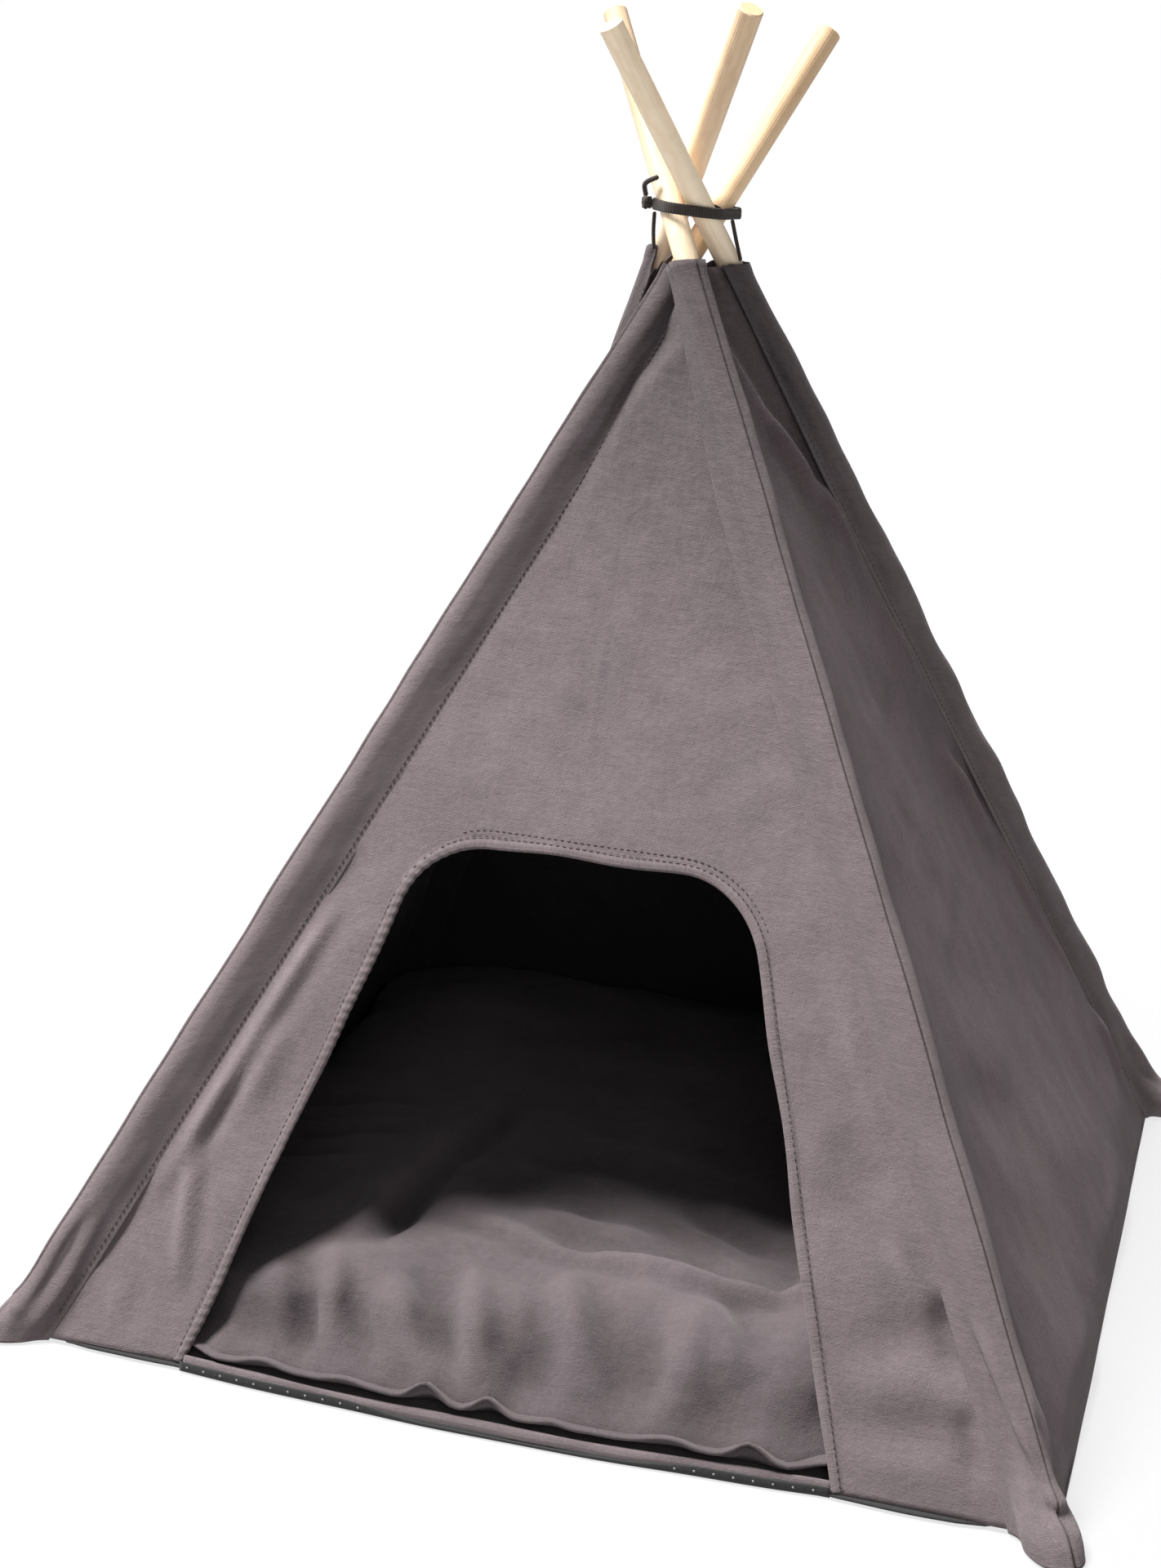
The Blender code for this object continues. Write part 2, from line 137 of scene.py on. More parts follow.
# --- camera and light --------------------------------------------------------------------------

CAMERA_PLACE = (0.2995, -1.170, 0.5785)
CAMERA_TURNS = (-16.59, -15.68, 2.27)  # yaw, pitch and roll, in degrees
CAMERA_LENS = 74.4
SURROUND = 0.20
KEY_POWER = 1010
FILL_POWER = 11


def add_camera():
    """In front and to the right of the tent, a little above it, looking down."""
    yaw, pitch, roll = (math.radians(turn) for turn in CAMERA_TURNS)
    forward = Vector((math.cos(pitch) * math.sin(yaw), math.cos(pitch) * math.cos(yaw), math.sin(pitch)))
    level = forward.cross(Vector((0, 0, 1))).normalized()
    upright = level.cross(forward)
    right = level * math.cos(roll) + upright * math.sin(roll)
    up = upright * math.cos(roll) - level * math.sin(roll)
    data = bpy.data.cameras.new("camera")
    data.sensor_fit = "HORIZONTAL"
    data.sensor_width = 36
    data.lens = CAMERA_LENS
    camera = bpy.data.objects.new("camera", data)
    bpy.context.scene.collection.objects.link(camera)
    facing = Matrix((right, up, -forward)).transposed().to_4x4()
    camera.matrix_world = Matrix.Translation(CAMERA_PLACE) @ facing
    bpy.context.scene.camera = camera


def add_light(name, position, size, power, aim=(0, 0, 0.25)):
    data = bpy.data.lights.new(name, "AREA")
    data.shape = "DISK"
    data.size = size
    data.energy = power
    light = bpy.data.objects.new(name, data)
    bpy.context.scene.collection.objects.link(light)
    light.location = position
    light.rotation_euler = (Vector(aim) - Vector(position)).to_track_quat("-Z", "Y").to_euler()


def add_studio():
    """A white room: a soft surround, a large light overhead on the left, and a pale floor without an edge."""
    world = bpy.data.worlds.new("studio")
    bpy.context.scene.world = world
    world.use_nodes = True
    tree = world.node_tree
    surround = tree.nodes["Background"]
    surround.inputs["Color"].default_value = (1, 1, 1, 1)
    seen = tree.nodes.new("ShaderNodeLightPath").outputs["Is Camera Ray"]
    strength = tree.nodes.new("ShaderNodeMapRange")
    tree.links.new(seen, strength.inputs["Value"])
    strength.inputs["To Min"].default_value = SURROUND
    strength.inputs["To Max"].default_value = 1.0
    tree.links.new(strength.outputs["Result"], surround.inputs["Strength"])
    bpy.context.scene.view_settings.view_transform = "Standard"
    add_light("key", (-2.30, -0.80, 5.55), 2.1, KEY_POWER)
    add_light("fill", (0.9, -2.7, 1.7), 1.6, FILL_POWER)
    around = circle(96)
    radius = np.array([12.0, 2.0, 0.4])[:, None]
    rings = spread(radius * np.cos(around), radius * np.sin(around), -0.0004)
    faces = grid_faces(len(rings), len(around), wrap=True) + [row_face(2 * len(around), len(around))]
    floor = mesh_object("studio_floor", rings.reshape(-1, 3), faces)
    floor.data.materials.append(floor_material())


# --- meshes ------------------------------------------------------------------------------------


def grid_faces(rows, columns, wrap=False, loop=False, first=0):
    """The quads between rows of points. wrap joins each row's ends, and loop the last row to the first."""
    faces = []
    for r in range(rows if loop else rows - 1):
        here, there = first + r * columns, first + (r + 1) % rows * columns
        for c in range(columns if wrap else columns - 1):
            d = (c + 1) % columns
            faces.append((here + c, here + d, there + d, there + c))
    return faces


def row_face(first, columns):
    """One face through a whole row of points."""
    return tuple(range(first, first + columns))


def barrel_faces(rows, columns, first=0):
    """The faces of rings of points that close at both ends."""
    ends = [row_face(first, columns)[::-1], row_face(first + (rows - 1) * columns, columns)]
    return grid_faces(rows, columns, wrap=True, first=first) + ends


def mesh_object(name, points, faces):
    """A new smooth object in the scene."""
    mesh = bpy.data.meshes.new(name)
    mesh.from_pydata(np.asarray(points).tolist(), [], faces)
    mesh.polygons.foreach_set("use_smooth", [True] * len(mesh.polygons))
    obj = bpy.data.objects.new(name, mesh)
    bpy.context.scene.collection.objects.link(obj)
    return obj


def row_normals(points, wrap=False):
    """The way out of a surface, at each of its rows of points."""
    down = np.gradient(points, axis=0)
    if wrap:
        padded = np.concatenate([points[:, -1:], points, points[:, :1]], axis=1)
        across = np.gradient(padded, axis=1)[:, 1:-1]
    else:
        across = np.gradient(points, axis=1)
    normals = np.cross(across, down)
    return normals / np.maximum(np.linalg.norm(normals, axis=2, keepdims=True), 1e-12)


def shell(name, points, flat, materials, thickness=CLOTH, keep=None, wrap=False, painted_light_and_wear=0.0, seam=0.0):
    """A sheet of cloth: an outer side through rows of points, an inner side behind it, and the rim between.

    flat is each point's place on the uncut cloth. keep says which cells of the grid are there. The two marks
    say how pale and how dark the cloth is at each point: the first from wear and painted light and shade, the
    second from painted shade along seams. The second material is for the inner side.
    """
    rows, columns = points.shape[:2]
    cells = columns if wrap else columns - 1
    keep = np.ones((rows - 1, cells), bool) if keep is None else keep
    normals = row_normals(points, wrap)
    both = np.concatenate([points.reshape(-1, 3), (points - normals * thickness).reshape(-1, 3)])
    behind = rows * columns
    faces, sides = [], []

    def corner(r, c):
        return r * columns + c % columns

    def there(r, c):
        if wrap:
            c %= cells
        return 0 <= r < rows - 1 and 0 <= c < cells and keep[r, c]

    for r in range(rows - 1):
        for c in range(cells):
            if not keep[r, c]:
                continue
            quad = [corner(r, c), corner(r, c + 1), corner(r + 1, c + 1), corner(r + 1, c)]
            faces.append(quad)
            faces.append([behind + i for i in quad[::-1]])
            sides += [0, 1]
            rim = [(0, r - 1, c), (1, r, c + 1), (2, r + 1, c), (3, r, c - 1)]
            for edge, nr, nc in rim:
                if not there(nr, nc):
                    a, b = quad[edge], quad[(edge + 1) % 4]
                    faces.append([b, a, behind + a, behind + b])
                    sides.append(0)
    used = np.unique(np.concatenate([np.array(f) for f in faces]))
    renumber = np.full(len(both), -1)
    renumber[used] = np.arange(len(used))
    faces = [[int(renumber[i]) for i in f] for f in faces]
    obj = mesh_object(name, both[used], faces)
    mesh = obj.data
    for material in materials:
        mesh.materials.append(material)
    mesh.polygons.foreach_set("material_index", [s if len(materials) > 1 else 0 for s in sides])
    add_flat_map(mesh, np.tile(flat.reshape(-1, 2), (2, 1))[used])
    for mark, values in (("painted_light_and_wear", painted_light_and_wear), ("seam", seam)):
        add_mark(mesh, mark, np.tile(np.broadcast_to(values, (rows, columns)).ravel(), 2)[used])
    return obj


def add_flat_map(mesh, flats):
    """Stores each vertex's place on the flat cloth, in metres, so that the weave runs along the threads."""
    layer = mesh.uv_layers.new(name="flat")
    corners = np.zeros(len(mesh.loops), np.int32)
    mesh.loops.foreach_get("vertex_index", corners)
    layer.data.foreach_set("uv", flats[corners].astype(np.float32).ravel())


def add_mark(mesh, name, values):
    """Stores a number for each vertex, which the materials read by this name."""
    attribute = mesh.attributes.new(name, "FLOAT", "POINT")
    attribute.data.foreach_set("value", np.ravel(values).astype(np.float32))


def read_points(mesh, what="co"):
    """The places of a mesh's vertices, or their normals."""
    points = np.zeros(len(mesh.vertices) * 3)
    mesh.vertices.foreach_get(what, points)
    return points.reshape(-1, 3)


def circle(count):
    """Angles evenly round a circle."""
    return np.linspace(0, 2 * math.pi, count, endpoint=False)


def spread(*coordinates):
    """A grid of points from its coordinates, each of which may be the same along a row or a column."""
    return np.stack(np.broadcast_arrays(*coordinates), axis=-1)


def rounded(wave, power):
    """A sine or cosine, drawn out towards a square wave."""
    return np.sign(wave) * np.abs(wave) ** power


def bell(value, middle, width):
    """1 at the middle, and fading to 0 a few widths away."""
    return np.exp(-(((value - middle) / width) ** 2))


def unit(v):
    return v / np.linalg.norm(v, axis=-1, keepdims=True)


def smoothstep(low, high, value):
    t = np.clip((value - low) / (high - low), 0, 1)
    return t * t * (3 - 2 * t)


def soft_noise(at, size, seed, waves=16):
    """A smooth random height, mostly between -1 and 1, with bumps about this size across."""
    rng = np.random.default_rng(seed)
    total = np.zeros(at.shape[:-1])
    for _ in range(waves):
        direction = unit(rng.normal(size=at.shape[-1]))
        turns = rng.uniform(0.45, 1.0) / size
        total += np.sin(at @ direction * turns * math.pi + rng.uniform(0, 2 * math.pi))
    return total / math.sqrt(waves / 2) / 1.6


def between(rise_from, rise_to, fall_from, fall_to, value):
    """1 from rise_to to fall_from, and fading to 0 on both sides."""
    return smoothstep(rise_from, rise_to, value) * (1 - smoothstep(fall_from, fall_to, value))


def fold(at, start, end, width, rise):
    """The height of one soft fold: a ridge from start to end, with a shallow hollow on its left side."""
    start, line = np.array(start), np.array(end) - np.array(start)
    length = np.linalg.norm(line)
    ahead = ((at - start) @ line) / length**2
    aside = ((at - start) @ np.array([-line[1], line[0]])) / length / width
    fade = between(-0.12, 0.3, 0.6, 1.12, ahead)
    return rise * fade * (bell(aside, 0, 1) - 0.6 * np.exp(-((aside - 1.5) ** 2) / 1.3))


def folds(at, shapes):
    """The height of several folds together. Each is its two ends, its width and how far it stands out."""
    return sum(fold(at, *shape) for shape in shapes)


def run_along(line):
    """How far each point of a line is from its start."""
    return np.concatenate([[0], np.cumsum(np.linalg.norm(np.diff(line, axis=0), axis=1))])


def points_at(at, distance, line):
    """Points this far along a line."""
    return np.stack([np.interp(at, distance, line[:, k]) for k in range(line.shape[1])], axis=-1)


def even_line(line, spacing):
    """The same line, with its points this far apart."""
    distance = run_along(line)
    at = np.linspace(0, distance[-1], max(int(distance[-1] / spacing), 2) + 1)
    return points_at(at, distance, line)


def stitches(name, line, outward, seed):
    """A row of machine stitches along a line: short threads that dip into the cloth at both ends."""
    outward = unit(outward)
    distance = run_along(line)
    rng = np.random.default_rng(seed)
    points, faces = [], []
    # (place along the stitch, thickness, height), as shares of its length and of the thread
    profile = [(-0.5, 0.25, -0.6), (-0.32, 0.85, 0.15), (0, 1.0, 0.45), (0.32, 0.85, 0.15), (0.5, 0.25, -0.6)]
    around = circle(6)
    for middle in np.arange(STITCH_PITCH, distance[-1] - STITCH_PITCH / 2, STITCH_PITCH):
        here = points_at(middle, distance, line)
        ahead = points_at(middle + 0.4 * STITCH_PITCH, distance, line) - here
        up = unit(points_at(middle, distance, outward))
        side = unit(np.cross(ahead, up))
        forward = unit(ahead + side * np.linalg.norm(ahead) * rng.uniform(-0.12, 0.12))
        side = unit(np.cross(forward, up))
        faces += barrel_faces(len(profile), len(around), first=len(points))
        for share, width, lift in profile:
            centre = here + forward * share * STITCH + up * lift * THREAD / 2
            for angle in around:
                points.append(centre + (side * math.cos(angle) + up * math.sin(angle)) * width * THREAD / 2)
    obj = mesh_object(name, points, faces)
    obj.data.materials.append(THREAD_DARK)
    return obj


def face_outwards(mesh, change=None):
    """Turns every face of a closed mesh outwards, after a change to it."""
    work = bmesh.new()
    work.from_mesh(mesh)
    if change:
        change(work)
    bmesh.ops.recalc_face_normals(work, faces=work.faces)
    work.to_mesh(mesh)
    work.free()


def tube(name, sections, flat, material, painted_light_and_wear=0.0, seam=0.0, closed_path=False):
    """A solid piece through rings of points, closed at its ends or joined end to end."""
    count, around = sections.shape[:2]
    faces = grid_faces(count, around, wrap=True, loop=True) if closed_path else barrel_faces(count, around)
    obj = mesh_object(name, sections.reshape(-1, 3), faces)
    face_outwards(obj.data)
    obj.data.materials.append(material)
    add_flat_map(obj.data, flat.reshape(-1, 2))
    for mark, values in (("painted_light_and_wear", painted_light_and_wear), ("seam", seam)):
        add_mark(obj.data, mark, np.broadcast_to(values, (count, around)))
    return obj


def rings_round(line, ahead, side, angle, radius):
    """Rings of points round a line, from the angle and radius of each. side is the way out at angle 0."""
    top = np.cross(side, ahead)
    out = side[:, None] * np.cos(angle)[..., None] + top[:, None] * np.sin(angle)[..., None]
    return line[:, None] + out * radius[..., None]


# --- bodies ------------------------------------------------------------------------------------

# How much of a soft piece's depth, from front to back, is left when the frame is folded. Only which bodies
# are listed is read here, and nothing here folds the pieces.
KEPT_DEPTH = {"side_left": 0.15, "side_right": 0.15, "base": 0.21, "cushion": 0.20}


def settle(piece, body, replaced=()):
    """Hides the CAD nodes that a piece stands for and gives the piece its body. A soft body's piece gets its
    own copy of its mesh.
    """
    if replaced:
        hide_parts(*replaced)
    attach(piece, body)
    if body in KEPT_DEPTH:
        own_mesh(piece)


# --- materials ---------------------------------------------------------------------------------


class Nodes:
    """The node tree of one new material, with short calls for adding and joining nodes."""

    def __init__(self, name, **surface):
        self.material = bpy.data.materials.new(name)
        self.material.use_nodes = True
        self.tree = self.material.node_tree
        self.shader = self.tree.nodes["Principled BSDF"]
        for socket, value in surface.items():
            self.shader.inputs[socket.replace("_", " ")].default_value = value

    def add(self, kind, inputs=None, **settings):
        node = self.tree.nodes.new("ShaderNode" + kind)
        for setting, value in settings.items():
            setattr(node, setting, value)
        for socket, value in (inputs or {}).items():
            self.put(node.inputs[socket], value)
        return node

    def put(self, socket, value):
        if isinstance(value, bpy.types.NodeSocket):
            self.tree.links.new(value, socket)
        else:
            socket.default_value = value

    def math(self, operation, first, second=0.0, third=0.0):
        node = self.add("Math", operation=operation)
        for socket, value in zip(node.inputs, (first, second, third), strict=True):
            self.put(socket, value)
        return node.outputs[0]

    def noise(self, where, scale, detail=3.0, roughness=0.5, stretch=None):
        if stretch:
            where = self.add("Mapping", {"Vector": where, "Scale": stretch}).outputs[0]
        inputs = {"Vector": where, "Scale": scale, "Detail": detail, "Roughness": roughness}
        return self.add("TexNoise", inputs).outputs["Fac"]

    def mix(self, share, first, second, blend="MIX"):
        node = self.add("Mix", data_type="RGBA", blend_type=blend)
        self.put(node.inputs[0], share)
        self.put(node.inputs[6], first)
        self.put(node.inputs[7], second)
        return node.outputs[2]

    def mark(self, name):
        return self.add("Attribute", attribute_name=name).outputs["Fac"]

    def finish(self, colour, roughness, height, depth):
        """Joins the colour, the roughness and a bump of this depth to the shader."""
        bump = self.add("Bump", {"Height": height, "Distance": depth, "Strength": 1.0}).outputs[0]
        self.put(self.shader.inputs["Base Color"], colour)
        self.put(self.shader.inputs["Roughness"], roughness)
        self.put(self.shader.inputs["Normal"], bump)
        return self.material


def brushed_cloth(name, colour, streaks=0.10, clouds=0.16):
    """Brushed canvas: a plain weave under a short nap, with cloudy shade and slubs, and paler and darker
    places from its marks, which are painted light and shade: paler ridges, darker hollows and tops, and dark
    seams.
    """
    n = Nodes(name, Sheen_Weight=0.22, Sheen_Roughness=0.55, Sheen_Tint=(0.80, 0.72, 0.74, 1),
              Specular_IOR_Level=0.12)
    where = n.add("UVMap", uv_map="flat").outputs[0]
    cloud = n.noise(where, 16, 3, 0.55)
    blotch = n.noise(where, 75, 3, 0.6)
    mottle = n.noise(where, 260, 4, 0.65)
    fleck = n.noise(where, 1100, 2, 0.6)
    weft = n.noise(where, 1, 3, 0.6, stretch=(60, 900, 1))
    warp = n.noise(where, 1, 3, 0.6, stretch=(900, 50, 1))
    total = n.math("MULTIPLY_ADD", cloud, clouds * 2, 1 - clouds)
    strengths = ((blotch, 0.16), (mottle, 0.24), (fleck, 0.26), (weft, streaks * 1.5), (warp, streaks))
    for pattern, strength in strengths:
        total = n.math("MULTIPLY_ADD", n.math("SUBTRACT", pattern, 0.5), strength * 2, total)
    # Painted light and shade: the first mark makes ridges paler and hollows and tops darker, and the second
    # darkens the seams as painted shade.
    total = n.math("MULTIPLY_ADD", n.mark("painted_light_and_wear"), 0.16, total)
    total = n.math("MULTIPLY", total, n.math("MULTIPLY_ADD", n.mark("seam"), -0.62, 1.0))
    shade = n.add("CombineColor", {"Red": total, "Green": total, "Blue": total}).outputs[0]
    red, green, blue = colour
    warm = n.mix(n.noise(where, 24, 2), (*colour, 1), (red * 1.04, green * 0.98, blue * 0.94, 1))
    tone = n.mix(1.0, warm, shade, "MULTIPLY")
    threads = []
    for axis in ("X", "Y"):
        wave = n.add("TexWave", {"Vector": where, "Scale": 560.0, "Distortion": 0.6}, bands_direction=axis)
        threads.append(wave.outputs["Fac"])
    weave = n.math("MULTIPLY", threads[0], threads[1])
    nap = n.math("MULTIPLY_ADD", fleck, 0.9, n.math("MULTIPLY", mottle, 1.6))
    height = n.math("ADD", n.math("MULTIPLY", weave, 0.35), nap)
    height = n.math("MULTIPLY_ADD", weft, 0.35, height)
    roughness = n.math("MULTIPLY_ADD", mottle, 0.12, 0.82)
    return n.finish(tone, roughness, height, 0.00035)


def speckled(name, size, detail, dark, pale, roughness, **surface):
    """A small smooth part with fine speckles, such as thread or rubber."""
    n = Nodes(name, **surface)
    speckle = n.noise(n.add("TexCoord").outputs["Object"], size, detail)
    tone = n.mix(speckle, (*dark, 1), (*pale, 1))
    return n.finish(tone, n.math("MULTIPLY_ADD", speckle, 0.2, roughness), speckle, 0.0001)


# The colour of each pole beside the palest wood, and how much its upper end is darkened. Both are partly the
# wood's tone and handling and partly painted light and shade, set by how lit each pole is.
POLE_TONES = {
    "front_left": ((0.88, 0.76, 0.64), 0.9),
    "front_right": ((1.00, 0.98, 0.96), 0.7),
    "back_right": ((1.07, 1.09, 1.13), 0.1),
    "back_left": ((0.96, 0.90, 0.88), 0.9),
}


def wood_material(name, pole, tint, painted_light_and_wear):
    """Pale sanded dowel: fine grain along the pole, a few darker streaks, and darker end grain."""

    def toned(colour):
        return (*[c * t for c, t in zip(colour, tint, strict=True)], 1)

    n = Nodes(name, Specular_IOR_Level=0.3, Coat_Weight=0.04, Coat_Roughness=0.4)
    turn = Vector(pole).to_track_quat("Z", "Y").inverted().to_euler()
    where = n.add("TexCoord").outputs["Object"]
    along = n.add("Mapping", {"Vector": where, "Rotation": turn}).outputs[0]
    sway = n.noise(along, 1, 2, stretch=(30, 30, 7))
    drift = n.add("CombineXYZ", {"X": n.math("MULTIPLY", sway, 0.004)}).outputs[0]
    shifted = n.add("VectorMath", {0: along, 1: drift})
    rings = n.add("TexWave", {"Vector": shifted.outputs[0], "Scale": 55.0, "Distortion": 5.0, "Detail": 2.0,
                              "Detail Scale": 1.5}, bands_direction="X").outputs["Fac"]
    grain = n.noise(along, 1, 4, 0.65, stretch=(900, 900, 22))
    streak = n.noise(along, 1, 2, 0.5, stretch=(220, 220, 9))
    height = n.add("SeparateXYZ", {0: where}).outputs["Z"]
    # The upper end darkens: partly handling, partly painted shade, by each pole's own amount.
    handling_and_shade = n.add("MapRange", {0: height, 1: 0.535, 2: 0.600}, interpolation_type="SMOOTHSTEP").outputs[0]
    handling_and_shade = n.math("MULTIPLY", handling_and_shade, painted_light_and_wear)
    early = n.mix(handling_and_shade, toned((0.900, 0.735, 0.530)), toned((0.640, 0.480, 0.310)))
    late = n.mix(handling_and_shade, toned((0.760, 0.560, 0.360)), toned((0.500, 0.340, 0.190)))
    tone = n.mix(n.math("MULTIPLY", rings, 0.55), early, late)
    streaked = n.math("MULTIPLY", n.add("MapRange", {0: streak, 1: 0.50, 2: 0.78}).outputs[0], 0.55)
    tone = n.mix(streaked, tone, (0.520, 0.350, 0.195, 1))
    tone = n.mix(n.math("MULTIPLY", grain, 0.22), tone, (0.86, 0.76, 0.60, 1))
    normal = n.add("NewGeometry").outputs["Normal"]
    facing = n.add("VectorMath", {0: normal, 1: tuple(pole)}, operation="DOT_PRODUCT")
    end = n.add("MapRange", {0: facing.outputs["Value"], 1: 0.75, 2: 0.95}).outputs[0]
    pores = n.noise(along, 1, 3, 0.7, stretch=(700, 700, 100))
    end_grain = n.mix(pores, (0.44, 0.29, 0.16, 1), (0.66, 0.50, 0.31, 1))
    tone = n.mix(n.math("MULTIPLY", end, 0.8), tone, end_grain)
    relief = n.math("MULTIPLY_ADD", streak, 1.2, grain)
    return n.finish(tone, n.math("MULTIPLY_ADD", grain, 0.25, 0.42), relief, 0.00022)


def braid_material(name):
    """Black-brown polyester braid, a little dusty on its raised ribs."""
    n = Nodes(name, Sheen_Weight=0.25, Sheen_Roughness=0.4, Specular_IOR_Level=0.35)
    where = n.add("TexCoord").outputs["Object"]
    fibre = n.noise(where, 2400, 3)
    dust = n.noise(where, 420, 3)
    tone = n.mix(n.math("MULTIPLY", dust, 0.7), (0.010, 0.008, 0.0075, 1), (0.040, 0.029, 0.024, 1))
    tone = n.mix(n.math("MULTIPLY", n.mark("painted_light_and_wear"), 0.5), tone, (0.075, 0.058, 0.050, 1))
    return n.finish(tone, n.math("MULTIPLY_ADD", fibre, 0.3, 0.6), fibre, 0.00012)


def antislip_material(name):
    """Charcoal non-woven felt with a faint grid of pressed dots."""
    n = Nodes(name, Sheen_Weight=0.1)
    where = n.add("TexCoord").outputs["Object"]
    fibre = n.noise(where, 900, 4, 0.7)
    dust = n.noise(where, 60, 3)
    pressed = n.add("TexVoronoi", {"Vector": where, "Scale": 240.0, "Randomness": 0.1}).outputs["Distance"]
    tone = n.mix(fibre, (0.004, 0.004, 0.004, 1), (0.018, 0.017, 0.018, 1))
    tone = n.mix(n.math("MULTIPLY", dust, 0.2), tone, (0.040, 0.037, 0.038, 1))
    return n.finish(tone, n.math("MULTIPLY_ADD", fibre, 0.2, 0.72), n.math("ADD", fibre, pressed), 0.0003)


def floor_material():
    """Seamless white paper, lit from below as well, which goes to pure white further out."""
    n = Nodes("studio_paper", Specular_IOR_Level=0.1, Emission_Color=(1, 1, 1, 1))
    where = n.add("TexCoord").outputs["Object"]
    fibre = n.noise(where, 300, 3)
    distance = n.add("VectorMath", {0: where}, operation="LENGTH").outputs["Value"]
    far = n.add("MapRange", {0: distance, 1: 0.30, 2: 0.80}, interpolation_type="SMOOTHSTEP").outputs[0]
    paper = n.mix(fibre, (0.08, 0.08, 0.08, 1), (0.10, 0.10, 0.10, 1))
    n.put(n.shader.inputs["Emission Strength"], n.math("MULTIPLY_ADD", far, 0.25, 0.75))
    tone = n.mix(far, paper, (0.0, 0.0, 0.0, 1))
    return n.finish(tone, n.math("MULTIPLY_ADD", fibre, 0.1, 0.8), fibre, 0.00005)


CANVAS = brushed_cloth("canvas_brushed", (0.128, 0.106, 0.113))
# A darker copy of the canvas for the side walls: painted shade of the shaded sides.
CANVAS_SIDE_PAINTED_SHADE = brushed_cloth("canvas_side_painted_shade", (0.083, 0.062, 0.068), streaks=0.24, clouds=0.18)
# A much darker copy for the inner side of the cloth and the sleeves' backs: painted shade of the dark
# interior.
CANVAS_INSIDE_PAINTED_SHADE = brushed_cloth("canvas_reverse_painted_shade", (0.040, 0.036, 0.038))
# A darker copy for the cushion and the floor lining inside the tent: painted shade of the interior.
CANVAS_CUSHION_PAINTED_SHADE = brushed_cloth("canvas_cushion_painted_shade", (0.078, 0.065, 0.070), clouds=0.14)
THREAD_DARK = speckled("thread_dark", 2600, 2, (0.0336, 0.0210, 0.0231), (0.0600, 0.0375, 0.04125), 0.6,
                       Sheen_Weight=0.2)
GRIP_DOTS = speckled("grip_dots", 700, 3, (0.16, 0.15, 0.155), (0.34, 0.33, 0.34), 0.4)
BRAID = braid_material("braid_black")


# --- the frame's geometry ----------------------------------------------------------------------


def foot_of(corner):
    x, y = CORNERS[corner]
    return np.array([x * BASE / 2, y * BASE / 2, 0])


def crossing_of(corner):
    return np.array([*CROSSINGS[corner], CROSSING_HEIGHT])


def pole_direction(corner):
    return unit(crossing_of(corner) - foot_of(corner))


def neighbours(corner):
    """The other corners of the two walls that meet here: left as seen from outside, then right."""
    return [a for a, b in WALLS.values() if b == corner] + [b for a, b in WALLS.values() if a == corner]


def along_wall(corner, other):
    """Across the pole, towards the next corner, in the plane of the wall between them."""
    upward = pole_direction(corner)
    level = unit(foot_of(other) - foot_of(corner))
    return unit(level - upward * level.dot(upward))


def outward_from_wall(corner, other):
    normal = unit(np.cross(along_wall(corner, other), pole_direction(corner)))
    return normal if normal.dot(foot_of(corner)) > 0 else -normal


def at_height(corner, across, height):
    """Points that lie this far across from the pole's axis, slid along the pole to a height."""
    upward = pole_direction(corner)
    start = foot_of(corner) + across
    return start + upward * ((height - start[..., 2]) / upward[2])[..., None]


def sleeve_reach(height):
    share = np.clip((height - SLEEVE_TAPER_FROM) / (SLEEVE_TOP - SLEEVE_TAPER_FROM), 0, 1)
    return SLEEVE_REACH + (SLEEVE_REACH_TOP - SLEEVE_REACH) * share


def wall_edge(corner, other, height, tuck):
    """The edge of a wall beside a sleeve, tucked this far in under the sleeve's own edge."""
    distance = sleeve_reach(height) - tuck
    return at_height(corner, along_wall(corner, other) * distance[..., None], height)


def wall_points(wall, share, height, tuck=0.0):
    """Points on the middle surface of a wall, share of the way from its first sleeve to its second."""
    first, second = WALLS[wall]
    left = wall_edge(first, second, height, tuck)
    right = wall_edge(second, first, height, tuck)
    return left + (right - left) * share[..., None]


def wall_outward(wall):
    first, second = WALLS[wall]
    return unit(outward_from_wall(first, second) + outward_from_wall(second, first))


def wall_across(wall):
    first, second = WALLS[wall]
    return unit(foot_of(second) - foot_of(first))


# --- folds and slack of the walls --------------------------------------------------------------

